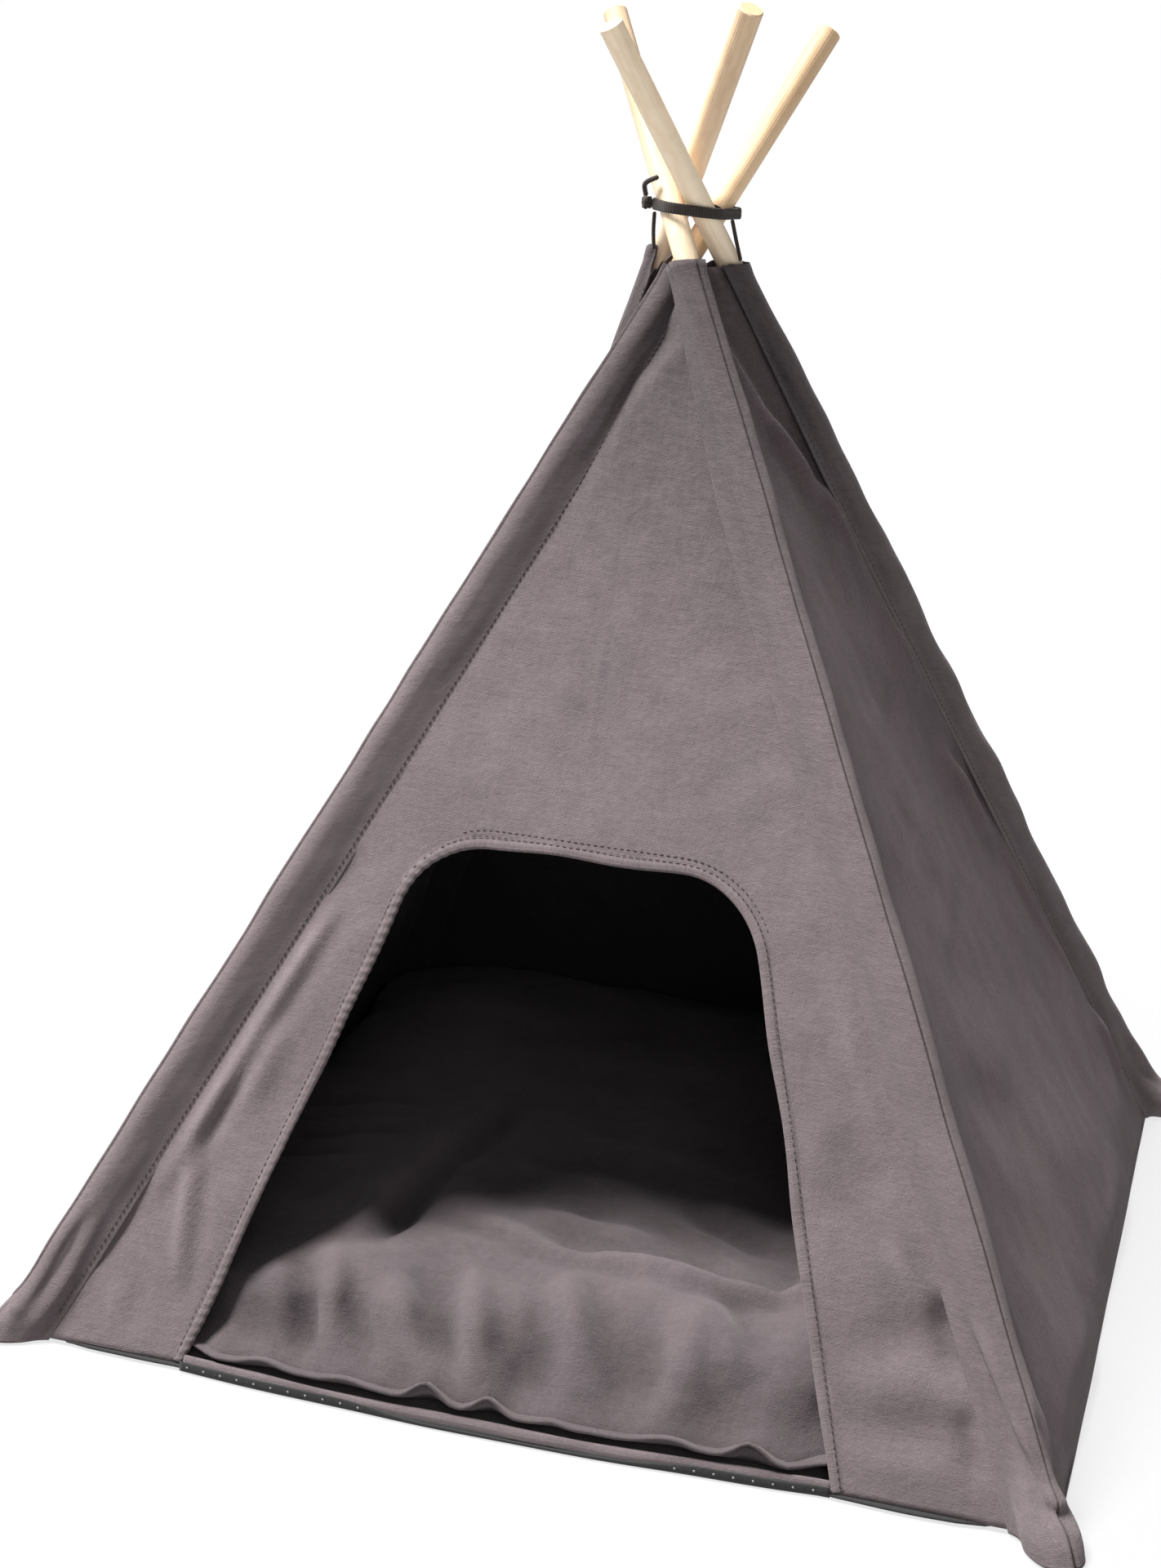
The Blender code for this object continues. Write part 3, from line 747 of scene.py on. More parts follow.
# Each fold of a wall: its two ends as (across from the middle, height), its width and how far it stands out.
FOLDS = {
    "front": [
        ((-0.126, 0.204), (-0.153, 0.148), 0.0050, 0.0036),
        ((-0.146, 0.164), (-0.190, 0.070), 0.0050, 0.0038),
        ((-0.160, 0.128), (-0.176, 0.096), 0.0035, 0.0018),
        ((-0.175, 0.094), (-0.168, 0.030), 0.0045, 0.0036),
        ((-0.140, 0.150), (-0.152, 0.112), 0.0060, 0.0020),
        ((-0.200, 0.030), (-0.197, 0.006), 0.0060, 0.0018),
        ((-0.120, 0.245), (-0.140, 0.205), 0.0060, 0.0014),
        ((-0.066, 0.334), (-0.014, 0.338), 0.0024, 0.0003),
        ((-0.014, 0.340), (-0.011, 0.290), 0.0024, 0.0003),
        ((-0.002, 0.484), (-0.026, 0.446), 0.0065, -0.0040),
        ((0.124, 0.206), (0.193, 0.070), 0.0075, 0.0044),
        ((0.162, 0.102), (0.190, 0.066), 0.0045, 0.0028),
        ((0.186, 0.086), (0.204, 0.052), 0.0075, -0.0064),
        ((0.204, 0.046), (0.216, 0.016), 0.0065, -0.0060),
        ((0.118, 0.150), (0.138, 0.086), 0.0090, 0.0016),
        ((0.158, 0.044), (0.210, 0.057), 0.0120, 0.0030),
        ((0.196, 0.052), (0.226, 0.014), 0.0060, 0.0040),
        ((0.150, 0.020), (0.205, 0.016), 0.0100, 0.0020),
        ((0.176, 0.150), (0.188, 0.108), 0.0050, 0.0018),
    ],
    "right": [
        ((-0.014, 0.446), (0.034, 0.388), 0.0075, 0.0052),
        ((0.028, 0.400), (0.064, 0.368), 0.0060, 0.0040),
        ((0.034, 0.392), (0.106, 0.324), 0.0080, 0.0050),
        ((0.062, 0.330), (0.106, 0.272), 0.0070, 0.0034),
        ((0.080, 0.254), (0.122, 0.200), 0.0080, 0.0044),
        ((0.130, 0.196), (0.178, 0.110), 0.0085, 0.0050),
        ((0.150, 0.140), (0.190, 0.086), 0.0060, 0.0034),
        ((0.176, 0.086), (0.206, 0.030), 0.0065, 0.0048),
        ((-0.030, 0.480), (-0.004, 0.440), 0.0060, 0.0030),
        ((-0.120, 0.120), (-0.040, 0.060), 0.0220, 0.0018),
    ],
    "left": [
        ((-0.020, 0.420), (-0.060, 0.320), 0.0070, 0.0036),
        ((-0.060, 0.330), (-0.130, 0.200), 0.0080, 0.0038),
        ((0.070, 0.300), (0.130, 0.180), 0.0080, 0.0036),
        ((0.120, 0.150), (0.180, 0.050), 0.0080, 0.0036),
        ((-0.140, 0.140), (-0.190, 0.050), 0.0070, 0.0034),
    ],
    "back": [
        ((0.010, 0.430), (0.050, 0.320), 0.0070, 0.0036),
        ((-0.040, 0.330), (-0.110, 0.200), 0.0080, 0.0038),
        ((0.080, 0.280), (0.140, 0.150), 0.0080, 0.0036),
        ((-0.130, 0.120), (-0.180, 0.040), 0.0070, 0.0036),
        ((-0.020, 0.200), (0.030, 0.080), 0.0120, 0.0026),
    ],
}
# How far the middle of each wall hangs in (-) or its foot swells out (+).
SLACK = {
    "front": (-0.0020, 0.0008),
    "right": (-0.0050, 0.0040),
    "left": (-0.0045, 0.0035),
    "back": (-0.0050, 0.0030),
}
SEEDS = {"front": 11, "right": 22, "back": 33, "left": 44}


def wall_relief(wall, place, share, height):
    """How far the cloth stands out from the flat wall."""
    hang, swell = SLACK[wall]
    held = 4 * share * (1 - share)
    up = height / WALL_TOP
    relief = hang * held * np.sin(math.pi * np.clip(up, 0, 1)) + swell * held * bell(up, 0.06, 0.12)
    width = BASE * (1 - height / CROSSING_HEIGHT) + 0.010
    loose = folds(place, FOLDS[wall])
    for order, (size, height_of_bumps) in enumerate(((0.060, 0.0018), (0.022, 0.0007), (0.009, 0.0002))):
        loose = loose + height_of_bumps * soft_noise(place, size, SEEDS[wall] + order)
    # Folds die out before they reach a sleeve, but hollows run right up to it.
    to_sleeve = np.minimum(share, 1 - share) * width
    relief = relief + smoothstep(0.005, 0.022, to_sleeve) * np.maximum(loose, 0)
    relief = relief + smoothstep(0.001, 0.010, to_sleeve) * np.minimum(loose, 0)
    # The cloth is sewn down at the floor.
    return relief * smoothstep(-0.004, 0.022, height)


def place_on_wall(wall, points):
    """(across from the middle, height) of points on a wall."""
    return np.stack([points @ wall_across(wall), points[..., 2]], axis=-1)


def on_wall(wall, points, share, height, above=0.0):
    """Moves points of the flat wall out to the real, folded cloth."""
    relief = wall_relief(wall, place_on_wall(wall, points), share, height)
    return points + wall_outward(wall) * (relief + above)[..., None]


def share_at(wall, across, height):
    """How far across the wall a place is, as a share of the way between its sleeves."""
    left = wall_points(wall, np.zeros_like(height), height) @ wall_across(wall)
    right = wall_points(wall, np.ones_like(height), height) @ wall_across(wall)
    return (across - left) / (right - left)


# --- doorway -----------------------------------------------------------------------------------


def door_outline(margin, steps=16):
    """(x, height) round the doorway from its bottom left to its bottom right, margin outside its edge."""
    crown = DOOR_HEIGHT + margin
    slope = (DOOR_BOTTOM_HALF - DOOR_TOP_HALF) / DOOR_HEIGHT
    outset = margin * math.hypot(1, slope)
    corner = DOOR_CORNER + margin
    side_angle = math.atan(slope)
    centre_height = crown - corner
    touch_height = centre_height + corner * math.sin(side_angle)
    centre_x = DOOR_BOTTOM_HALF + outset - slope * touch_height - corner * math.cos(side_angle)
    half = []
    for height in np.linspace(COVER_BOTTOM, touch_height, 2 * steps, endpoint=False):
        half.append((DOOR_BOTTOM_HALF + outset - slope * height, height))
    for angle in np.linspace(side_angle, math.pi / 2, steps + 1):
        half.append((centre_x + corner * math.cos(angle), centre_height + corner * math.sin(angle)))
    right = [(DOOR_CENTRE + x, h) for x, h in half]
    left = [(DOOR_CENTRE - x, h) for x, h in half]
    bridge = [(x, crown) for x in np.linspace(left[-1][0], right[-1][0], steps)[1:-1]]
    return np.array(left + bridge + right[::-1])


def inside_door(place, margin):
    """Which places on the front wall lie in the doorway, grown by the margin."""
    outline = door_outline(margin)
    left, right = outline[: len(outline) // 2], outline[len(outline) // 2:][::-1]
    low = np.interp(place[..., 1], left[:, 1], left[:, 0])
    high = np.interp(place[..., 1], right[:, 1], right[:, 0])
    crown = DOOR_HEIGHT + margin
    return (place[..., 1] < crown) & (place[..., 0] > low) & (place[..., 0] < high)


def front_cloth(x_height, above=0.0):
    """Points on the folded front wall at these (x, height) places."""
    x, height = x_height[..., 0], x_height[..., 1]
    share = share_at("front", x, height)
    return on_wall("front", wall_points("front", share, height), share, height, above)


def make_wall(wall):
    """One cloth panel between two sleeves. The front one is cut away round the doorway."""
    rows, columns = (176, 150) if wall == "front" else (130, 110)
    bottom = COVER_BOTTOM if wall == "front" else SIDE_BOTTOM
    up = np.linspace(bottom, WALL_TOP, rows)
    height, share = np.meshgrid(up, np.linspace(0, 1, columns), indexing="ij")
    flat = wall_points(wall, share, height, tuck=WALL_TUCK)
    place = place_on_wall(wall, flat)
    keep = None
    if wall == "front":
        # Points near the cut move onto it, so that its edge is smooth.
        edge = even_line(door_outline(HEM_WIDTH / 2), 0.0015)
        gap = np.linalg.norm(place[:, :, None] - edge, axis=-1)
        cut = gap.min(axis=2) < CUT_REACH
        place = np.where(cut[..., None], edge[gap.argmin(axis=2)], place)
        there = ~inside_door(place, HEM_WIDTH / 2 - 0.0002)
        keep = there[:-1, :-1] & there[1:, :-1] & there[:-1, 1:] & there[1:, 1:]
        share = np.where(cut, share_at(wall, place[..., 0], place[..., 1]), share)
        height = np.where(cut, place[..., 1], height)
        flat = np.where(cut[..., None], wall_points(wall, share, height), flat)
    points = on_wall(wall, flat, share, height)
    outside = CANVAS if wall in ("front", "back") else CANVAS_SIDE_PAINTED_SHADE
    panel = shell("cover_" + wall, points, spread(place[..., 0], height / wall_slope(wall)),
                  (outside, CANVAS_INSIDE_PAINTED_SHADE), keep=keep, painted_light_and_wear=wall_painted_light(wall, place, height))
    settle(panel, BODY_OF_WALL[wall], ["wall_" + wall])
    return panel


def wall_slope(wall):
    """The height that a wall gains in each metre along its slant."""
    return math.sqrt(1 - wall_outward(wall)[2] ** 2)


def wall_painted_light(wall, place, height):
    """Painted light and shade: paler on the folds and painted shade in the hollows. Painted shade also
    darkens the top, most of all at the front.
    """
    darkening = 3.8 if wall == "front" else 1.8
    return np.clip(folds(place, FOLDS[wall]) / 0.004, -1.1, 0.9) - darkening * smoothstep(*PAINTED_TOP_SHADE, height)


# --- sleeves -----------------------------------------------------------------------------------

SLEEVE_STRIP = 0.30  # share of the sleeve's width on each side of the part that goes round the pole
SLEEVE_OVERLAP = 0.0020  # how far its edges run on over the walls that they are sewn to
SLEEVE_FOOT = 0.0012
SLEEVE_WIDTH = 0.055  # round the pole and its seam allowances, laid flat
# How the cloth leaves the wall for the pole: 1 is straight, and more clings to the wall first.
# On each sleeve's left side as seen from outside, then its right.
SLEEVE_CLING = {
    "front_left": (1.3, 1.15),
    "front_right": (1.15, 1.5),
    "back_right": (1.2, 1.3),
    "back_left": (1.8, 2.0),
}
# Which way the slack end of each sleeve hangs past the pole's foot.
TOES = {
    "front_left": (-0.0040, -0.0020),
    "front_right": (0.0000, -0.0080),
    "back_right": (0.0080, -0.0010),
    "back_left": (-0.0030, 0.0060),
}
# How loose each sleeve hangs round its pole.
LOOSENESS = {"front_left": 0.6, "front_right": 0.8, "back_right": 2.0, "back_left": 1.2}
# Creases near the feet, as for the walls, but placed by (distance across the sleeve, height).
FOOT_CREASES = {
    "front_left": [
        ((0.034, 0.060), (0.038, 0.006), 0.0030, -0.0026),
        ((0.020, 0.020), (0.030, 0.010), 0.0030, -0.0020),
    ],
    "front_right": [
        ((0.008, 0.078), (0.015, 0.030), 0.0030, -0.0034),
        ((0.013, 0.046), (0.021, 0.012), 0.0028, -0.0032),
        ((0.018, 0.020), (0.032, 0.014), 0.0028, -0.0026),
        ((0.028, 0.050), (0.036, 0.020), 0.0030, -0.0022),
    ],
    "back_right": [
        ((0.012, 0.060), (0.018, 0.012), 0.0032, -0.0028),
        ((0.030, 0.050), (0.036, 0.014), 0.0030, -0.0026),
    ],
    "back_left": [((0.014, 0.050), (0.020, 0.012), 0.0032, -0.0026)],
}


def skin_across(corner, t, reach):
    """Across a sleeve's outer skin: from its left seam, round the outside of the pole, to its right seam."""
    first, second = neighbours(corner)
    between_walls = along_wall(corner, first).dot(along_wall(corner, second))
    outside = 2 * math.pi - math.acos(np.clip(between_walls, -1, 1))
    touch = np.arccos(np.clip(SLEEVE_RADIUS / reach, 0, 1))

    def round_pole(other, angle):
        along, normal = along_wall(corner, other), outward_from_wall(corner, other)
        return (along * np.cos(angle)[..., None] + normal * np.sin(angle)[..., None]) * SLEEVE_RADIUS

    def strip(other, s, cling):
        along, normal = along_wall(corner, other), outward_from_wall(corner, other)
        tip = along * (reach + SLEEVE_OVERLAP)[..., None] - normal * 0.0004
        end = round_pole(other, touch)
        rise = SLEEVE_RADIUS * np.sin(touch)
        return tip + (end - tip) * s[..., None] - normal * (rise * (s - s**cling))[..., None]

    turn = (np.clip(t, SLEEVE_STRIP, 1 - SLEEVE_STRIP) - SLEEVE_STRIP) / (1 - 2 * SLEEVE_STRIP)
    across = round_pole(first, touch + (outside - 2 * touch) * turn)
    left = strip(first, np.clip(t / SLEEVE_STRIP, 0, 1), SLEEVE_CLING[corner][0])
    right = strip(second, np.clip((1 - t) / SLEEVE_STRIP, 0, 1), SLEEVE_CLING[corner][1])
    across = np.where((t < SLEEVE_STRIP)[..., None], left, across)
    return np.where((t > 1 - SLEEVE_STRIP)[..., None], right, across)


def sleeve_top(corner, t):
    """The height of the sleeve's top edge round the pole."""
    rim = SLEEVE_TOP + 0.0008 * np.sin(7 * t + len(corner))
    if corner == "front_left":
        rim = rim + 0.0130 * bell(t, 0.26, 0.17) - 0.004
    if corner == "back_left":
        rim = rim + 0.0140 * bell(t, 0.66, 0.16) - 0.008
    if corner == "front_right":
        rim = rim - 0.002 + 0.004 * smoothstep(0.15, 0.5, t)
    return rim


def sleeve_wrinkles(corner, t, height, seed):
    """How far the loose sleeve stands out from the pole."""
    place = np.stack([t * 0.05, height], axis=-1)
    loose = 0.0006 * (1 + soft_noise(place, 0.028, seed))
    swing = 0.0005 * (1 + soft_noise(place, 0.09, seed + 5))
    fine = 0.0003 * soft_noise(place * np.array([1.6, 1.0]), 0.012, seed + 9)
    crumple = 0.5 + soft_noise(place * np.array([1.2, 1.0]), 0.017, seed + 13)
    crumple = 0.0034 * np.exp(-height / 0.030) * crumple + folds(place, FOOT_CREASES[corner])
    tight = between(0.05, 0.22, 0.78, 0.95, t) * (1 - 0.85 * smoothstep(0.44, 0.49, height))
    return (loose + swing + fine) * tight * LOOSENESS[corner] + crumple * tight


def sleeve_toe(corner, t, height):
    """The slack end of the sleeve, which hangs past the pole's foot and sags."""
    low = 1 - smoothstep(0.000, 0.036, height)
    outer = 0.15 + 0.85 * np.exp(-(((t - 0.5) / 0.34) ** 4))
    hang = np.array([*TOES[corner], -0.0010])
    return hang * (low * outer)[..., None]


def make_sleeve(corner):
    """The cloth channel that a pole runs in, closed under its foot, with a seam down its outer ridge."""
    seed = 60 + list(CORNERS).index(corner)
    t_line = 0.5 + 0.5 * rounded(np.linspace(-1, 1, 81), 1.15)
    q, t = np.meshgrid(np.linspace(0, 1, 220) ** 1.15, t_line, indexing="ij")
    height = SLEEVE_FOOT + (sleeve_top(corner, t) - SLEEVE_FOOT) * q
    across = skin_across(corner, t, sleeve_reach(height))
    distance = np.linalg.norm(across, axis=-1, keepdims=True)
    relief = sleeve_wrinkles(corner, t, height, seed) - 0.0014 * bell(t, 0.5, 0.010)
    relief = relief + 0.0005 * bell(t, 0.475, 0.018) + 0.0008 * smoothstep(0.985, 1.0, q)
    # However slack, the cloth stays clear of the pole.
    standing = np.maximum(distance + relief[..., None], POLE_DIAMETER / 2 + CLOTH + GAP)
    across = across * standing / distance
    points = at_height(corner, across, height) + sleeve_toe(corner, t, height)
    # The foot of the channel is full and rounded, and is drawn in under the pole.
    full = 0.0022 * bell(height, 0.011, 0.009) * between(0.08, 0.3, 0.7, 0.92, t)
    points = points + across / distance * full[..., None]
    points[..., 2] = np.maximum(points[..., 2], 0.0010)
    centre = at_height(corner, np.zeros_like(across[0]), height[0])
    under = np.array([points[0] + (centre - points[0]) * share for share in (0.86, 0.62, 0.30)])
    under[..., 2] = 0.0006
    points = np.concatenate([under, points])
    height = np.concatenate([np.zeros(under.shape[:2]), height])
    t = np.concatenate([t[:len(under)], t])
    # Painted light and shade: paler beside the seam on the outer ridge, painted shade in the valleys where
    # the sleeve meets the walls and towards the top, and painted shade in the seam's groove.
    valley = bell(t, 0.16, 0.08) + bell(t, 0.84, 0.08)
    painted_light_and_wear = 0.4 * bell(np.abs(t - 0.5), 0.07, 0.07) - 0.5 * valley - 3.0 * smoothstep(*PAINTED_TOP_SHADE, height)
    sleeve = shell(f"sleeve_{corner}_skin", points, spread(t * SLEEVE_WIDTH, height * 1.2),
                   (CANVAS, CANVAS_INSIDE_PAINTED_SHADE), painted_light_and_wear=painted_light_and_wear, seam=bell(t, 0.5, 0.009))
    settle(sleeve, FRAME_OF[corner], ["sleeve_" + corner])
    pieces = [make_sleeve_back(corner)] + sleeve_stitches(corner, seed)


def sleeve_stitches(corner, seed):
    """The rows of stitching that join the sleeve to its two walls. The row on the front right sleeve's front
    side is left out.
    """
    rows = []
    for side, other, t in (("left", neighbours(corner)[0], 0.060), ("right", neighbours(corner)[1], 0.940)):
        if (corner, side) == ("front_right", "left"):
            continue
        up = np.linspace(0.012, SLEEVE_TOP - 0.012, 150)
        line = at_height(corner, skin_across(corner, np.full(150, t), sleeve_reach(up)), up)
        outward = np.repeat(outward_from_wall(corner, other)[None], len(line), axis=0)
        row = stitches(f"stitches_{corner}_{side}", line + outward * 0.0002, outward, seed)
        settle(row, FRAME_OF[corner])
        rows.append(row)
    return rows


def make_sleeve_back(corner):
    """The strip behind the pole that closes the channel on the inside of the tent."""
    first, second = neighbours(corner)
    up, t = np.meshgrid(np.linspace(0.004, SLEEVE_TOP - 0.006, 90), np.linspace(0, 1, 15), indexing="ij")
    reach = sleeve_reach(up)[..., None] - 0.0008
    one = along_wall(corner, first) * reach - outward_from_wall(corner, first) * CLOTH
    two = along_wall(corner, second) * reach - outward_from_wall(corner, second) * CLOTH
    across = one + (two - one) * t[..., None]
    length = np.linalg.norm(across, axis=-1, keepdims=True)
    across = across * np.maximum(1, (SLEEVE_RADIUS - CLOTH) / length)
    points = at_height(corner, across, up)
    back = shell(f"sleeve_{corner}_back", points, spread(t * 0.024, up), (CANVAS_INSIDE_PAINTED_SHADE,))
    settle(back, FRAME_OF[corner])
    return back


# --- hem and sill ------------------------------------------------------------------------------


def make_hem():
    """The folded edge round the doorway, puckered on its left side."""
    spacing = 0.0010
    line = even_line(door_outline(0.0), spacing)
    ahead = np.gradient(line, axis=0)
    away = unit(np.stack([-ahead[:, 1], ahead[:, 0]], axis=-1))[:, None]
    step = (np.arange(len(line)) * spacing)[:, None]
    around = circle(18)[None]
    c, s = np.cos(around), np.sin(around)
    turns = step * 2 * math.pi / PUCKER_PITCH + 1.6 * np.sin(step * 41) + 2.6 * c
    left_side = 1 - smoothstep(0.36, 0.50, step / step[-1])
    tightness = left_side * (0.35 + 0.65 * smoothstep(-0.6, 0.7, soft_noise(step, 0.08, 71)[:, None]))
    pucker = (0.5 + 0.5 * np.sin(turns)) * tightness
    wander = 0.0006 * soft_noise(step, 0.03, 72)[:, None]
    across = rounded(c, 0.6) * HEM_WIDTH / 2 + HEM_WIDTH / 2 + wander - 0.0004 * pucker * (c < -0.3)
    lift = rounded(s, 0.8) * (0.0013 + 0.0006 * pucker * (c < 0.4) - 0.0006 * ((0.35 < c) & (c < 0.8)))
    places = line[:, None] + away * across[..., None]
    sections = front_cloth(places, above=-CLOTH / 2) + wall_outward("front") * lift[..., None]
    # Painted light and shade: the puckers are paler on their crests and darker between them, and painted
    # shade darkens the groove along the stitching on top.
    hem = tube("door_hem_fold", sections, spread(around * 0.0012, step), CANVAS,
               painted_light_and_wear=np.sin(turns) * 0.8 * tightness * (c < 0.4), seam=bell(c, 0.55, 0.16) * 0.5 * (s > 0))
    settle(hem, "front_frame", ["door_hem"])
    return hem


def make_hem_stitches():
    """A row of stitching all round the hem, and a second one beside it where it was sewn again."""
    rows = []
    # Each row's place outside the edge and above the cloth, and which part of the way round it covers.
    for name, margin, lift, first, last in (("outer", HEM_WIDTH - 0.0011, 0.0009, 0, 1),
                                            ("mend", HEM_WIDTH + 0.0016, 0.0001, 0.40, 0.66)):
        path = even_line(door_outline(margin), 0.002)
        path = path[int(first * len(path)): int(last * len(path))]
        outward = np.tile(wall_outward("front"), (len(path), 1))
        row = stitches("stitches_hem_" + name, front_cloth(path, above=lift), outward, seed=8)
        settle(row, "front_frame")
        rows.append(row)
    return rows


def bow(x):
    """How far the doorway's foot is pushed out by the cushion behind it."""
    return 0.0062 * np.clip(1 - ((x + 0.020) / 0.148) ** 2, -0.25, 1)


def make_sill():
    """The rolled strip along the doorway's foot."""
    outline = door_outline(-0.0006)
    x = np.linspace(outline[0][0], outline[-1][0], 200)[:, None]
    around = circle(16)
    c, s = np.cos(around), np.sin(around)
    rise = 0.0047 + 0.0005 * soft_noise(x, 0.05, 81)[:, None]
    sway = -bow(x) + 0.0005 * soft_noise(x, 0.07, 82)[:, None]
    plump = 0.0013 + 0.0003 * soft_noise(x, 0.02, 83)[:, None]
    middle = np.full_like(x, 0.006)
    wall = wall_points("front", share_at("front", x, middle), middle)[..., 1]
    up = 0.0016 + rise * (0.5 + 0.5 * rounded(s, 0.7))
    depth = wall - plump * rounded(c, 0.8) + sway + (up - middle) * 0.45
    # Painted light: the roll is paler along its upper side.
    sill = tube("door_sill_roll", spread(x, depth, up), spread(x, around * 0.003), CANVAS,
                painted_light_and_wear=np.clip(s, 0, 1) * 0.4)
    settle(sill, "front_frame", ["door_sill"])


# --- floor -------------------------------------------------------------------------------------

ANTISLIP_HALF = BASE / 2 - 0.0014
FLOOR_LEDGE = 0.0020  # how far the floor stands out at the doorway
LINING_HALF = BASE / 2 - 0.0035
ANTISLIP_CUT = 0.028
LINING_CUT = 0.014


def floor_outline(half, cut, waviness, seed):
    """A square with its corners cut off and a slightly wavy edge, as points at even spacing."""
    near = half - cut
    corners = [(half, -near), (half, near), (near, half), (-near, half), (-half, near), (-half, -near),
               (-near, -half), (near, -half), (half, -near)]
    line = even_line(np.array(corners), half / 60)[:-1]
    shift = waviness * soft_noise(line, 0.030, seed)
    return line * (1 + shift / half)[:, None]


def doorway_bulge(plan):
    """How far the floor's front edge is pushed out across the doorway."""
    x, y = plan[..., 0], plan[..., 1]
    across = between(-0.166, -0.150, 0.140, 0.156, x)
    along_front = 1 - smoothstep(0.205, 0.222, np.abs(x))
    return (FLOOR_LEDGE * along_front + bow(x) * across) * smoothstep(-0.200, -0.244, y)


def make_floor_sheet(name, half, cut, height, thickness, waviness, ripple, seed, material):
    """A laid sheet with cut corners, a wavy edge and slight ripples, pushed out at the doorway."""
    outline = floor_outline(half, cut, waviness, seed)
    share = np.concatenate([np.linspace(0.02, 0.96, 36), [0.985, 1.0]])
    plan = share[:, None, None] * outline
    plan[..., 1] -= doorway_bulge(plan)
    lift = ripple * soft_noise(plan, 0.045, seed + 1)
    points = spread(plan[..., 0], plan[..., 1], height + lift)
    sheet = shell(name, points, plan, (material,), thickness, wrap=True)
    face_outwards(sheet.data, change=close_middle)
    return sheet


def close_middle(work):
    """Fills the small hole that the innermost row of points leaves on both sides, and drops its rim."""
    near = {v for v in work.verts if math.hypot(v.co.x, v.co.y) < 0.012}
    rim = [f for f in work.faces if all(v in near for v in f.verts)]
    bmesh.ops.delete(work, geom=rim, context="FACES_ONLY")
    bmesh.ops.holes_fill(work, edges=[e for e in work.edges if e.is_boundary], sides=0)


def make_floor():
    """The felt underside with its turned-up edge and grip dots, and the lining sewn on top."""
    antislip = antislip_material("antislip_felt")
    under = make_floor_sheet("floor_underside", ANTISLIP_HALF, ANTISLIP_CUT, height=0.0013, thickness=0.0011,
                             waviness=0.0007, ripple=0.00005, seed=91, material=antislip)
    settle(under, "base", ["floor_antislip"])
    lining = make_floor_sheet("floor_cloth", LINING_HALF, LINING_CUT, height=0.0025, thickness=CLOTH,
                              waviness=0.0006, ripple=0.00012, seed=93, material=CANVAS_CUSHION_PAINTED_SHADE)
    settle(lining, "base", ["floor_lining"])
    pieces = [make_turned_edge(antislip), make_dots()]


def turned_edge_line(x):
    """(y, half height) of the felt's turned-up edge in front of the sill. It is lowest in the middle."""
    y = -BASE / 2 - 0.0010 - bow(x) + 0.0004 * soft_noise(x[:, None], 0.035, 95)
    shows = smoothstep(0.045, 0.090, np.abs(x - 0.010))
    return y, 0.0009 + 0.0017 * shows + 0.0002 * soft_noise(x[:, None], 0.045, 96)


def make_turned_edge(material):
    """The felt's front edge, turned up against the sill."""
    outline = door_outline(0.0)
    x = np.linspace(outline[0][0], outline[-1][0], 170)
    y, half = turned_edge_line(x)
    around = circle(12)
    depth = y[:, None] + 0.0007 * np.cos(around)
    height = 0.0003 + half[:, None] * (1 + rounded(np.sin(around), 0.7))
    sections = spread(x[:, None], depth, height)
    edge = tube("floor_turned_edge", sections, spread(around * 0.001, x[:, None]), material)
    settle(edge, "base")
    return edge


def make_dots():
    """Small pale grip dots in a row along the turned-up edge, where it is high enough to show them."""
    outline = door_outline(-0.004)
    x = np.arange(outline[0][0], outline[-1][0], DOT_PITCH)
    y, half = turned_edge_line(x)
    around = circle(8)
    points, faces = [], []
    for centre in np.stack([x, y - 0.0006, 0.0006 + half], axis=-1)[half > 0.0018]:
        faces += barrel_faces(2, len(around), first=len(points))
        for radius, out in ((0.00062, 0.0), (0.00048, 0.00025)):
            for angle in around:
                points.append(centre + np.array([radius * math.cos(angle), -out, radius * math.sin(angle)]))
    dots = mesh_object("floor_grip_dots", points, faces)
    dots.data.materials.append(GRIP_DOTS)
    settle(dots, "base")
    return dots


# --- lashing -----------------------------------------------------------------------------------


def pole_surfaces():
    """Points round all four poles, at the heights that the lashing covers."""
    angle = circle(32)
    points = []
    for corner in CORNERS:
        across = along_wall(corner, neighbours(corner)[0])
        aside = np.cross(pole_direction(corner), across)
        around = (across * np.cos(angle)[:, None] + aside * np.sin(angle)[:, None]) * POLE_DIAMETER / 2
        for height in (BAND_HEIGHT - BAND_WIDTH, BAND_HEIGHT, BAND_HEIGHT + BAND_WIDTH):
            points.append(at_height(corner, around, np.full(len(angle), height)))
    return np.concatenate(points)


def band_line(count=720):
    """The lashing's inner face: evenly spaced (x, y) points, the way out at each, and its length."""
    plan = pole_surfaces()[:, :2]
    angle = circle(2880)
    facing = np.stack([np.cos(angle), np.sin(angle)], axis=-1)
    hull = plan[(facing @ plan.T).argmax(axis=1)] + facing * GAP
    ring = np.concatenate([hull, hull[:1]])
    distance = run_along(ring)
    line = points_at(np.linspace(0, distance[-1], count, endpoint=False), distance, ring)
    ahead = np.roll(line, -4, axis=0) - np.roll(line, 4, axis=0)
    return line, unit(np.stack([ahead[:, 1], -ahead[:, 0]], axis=-1)), distance[-1]


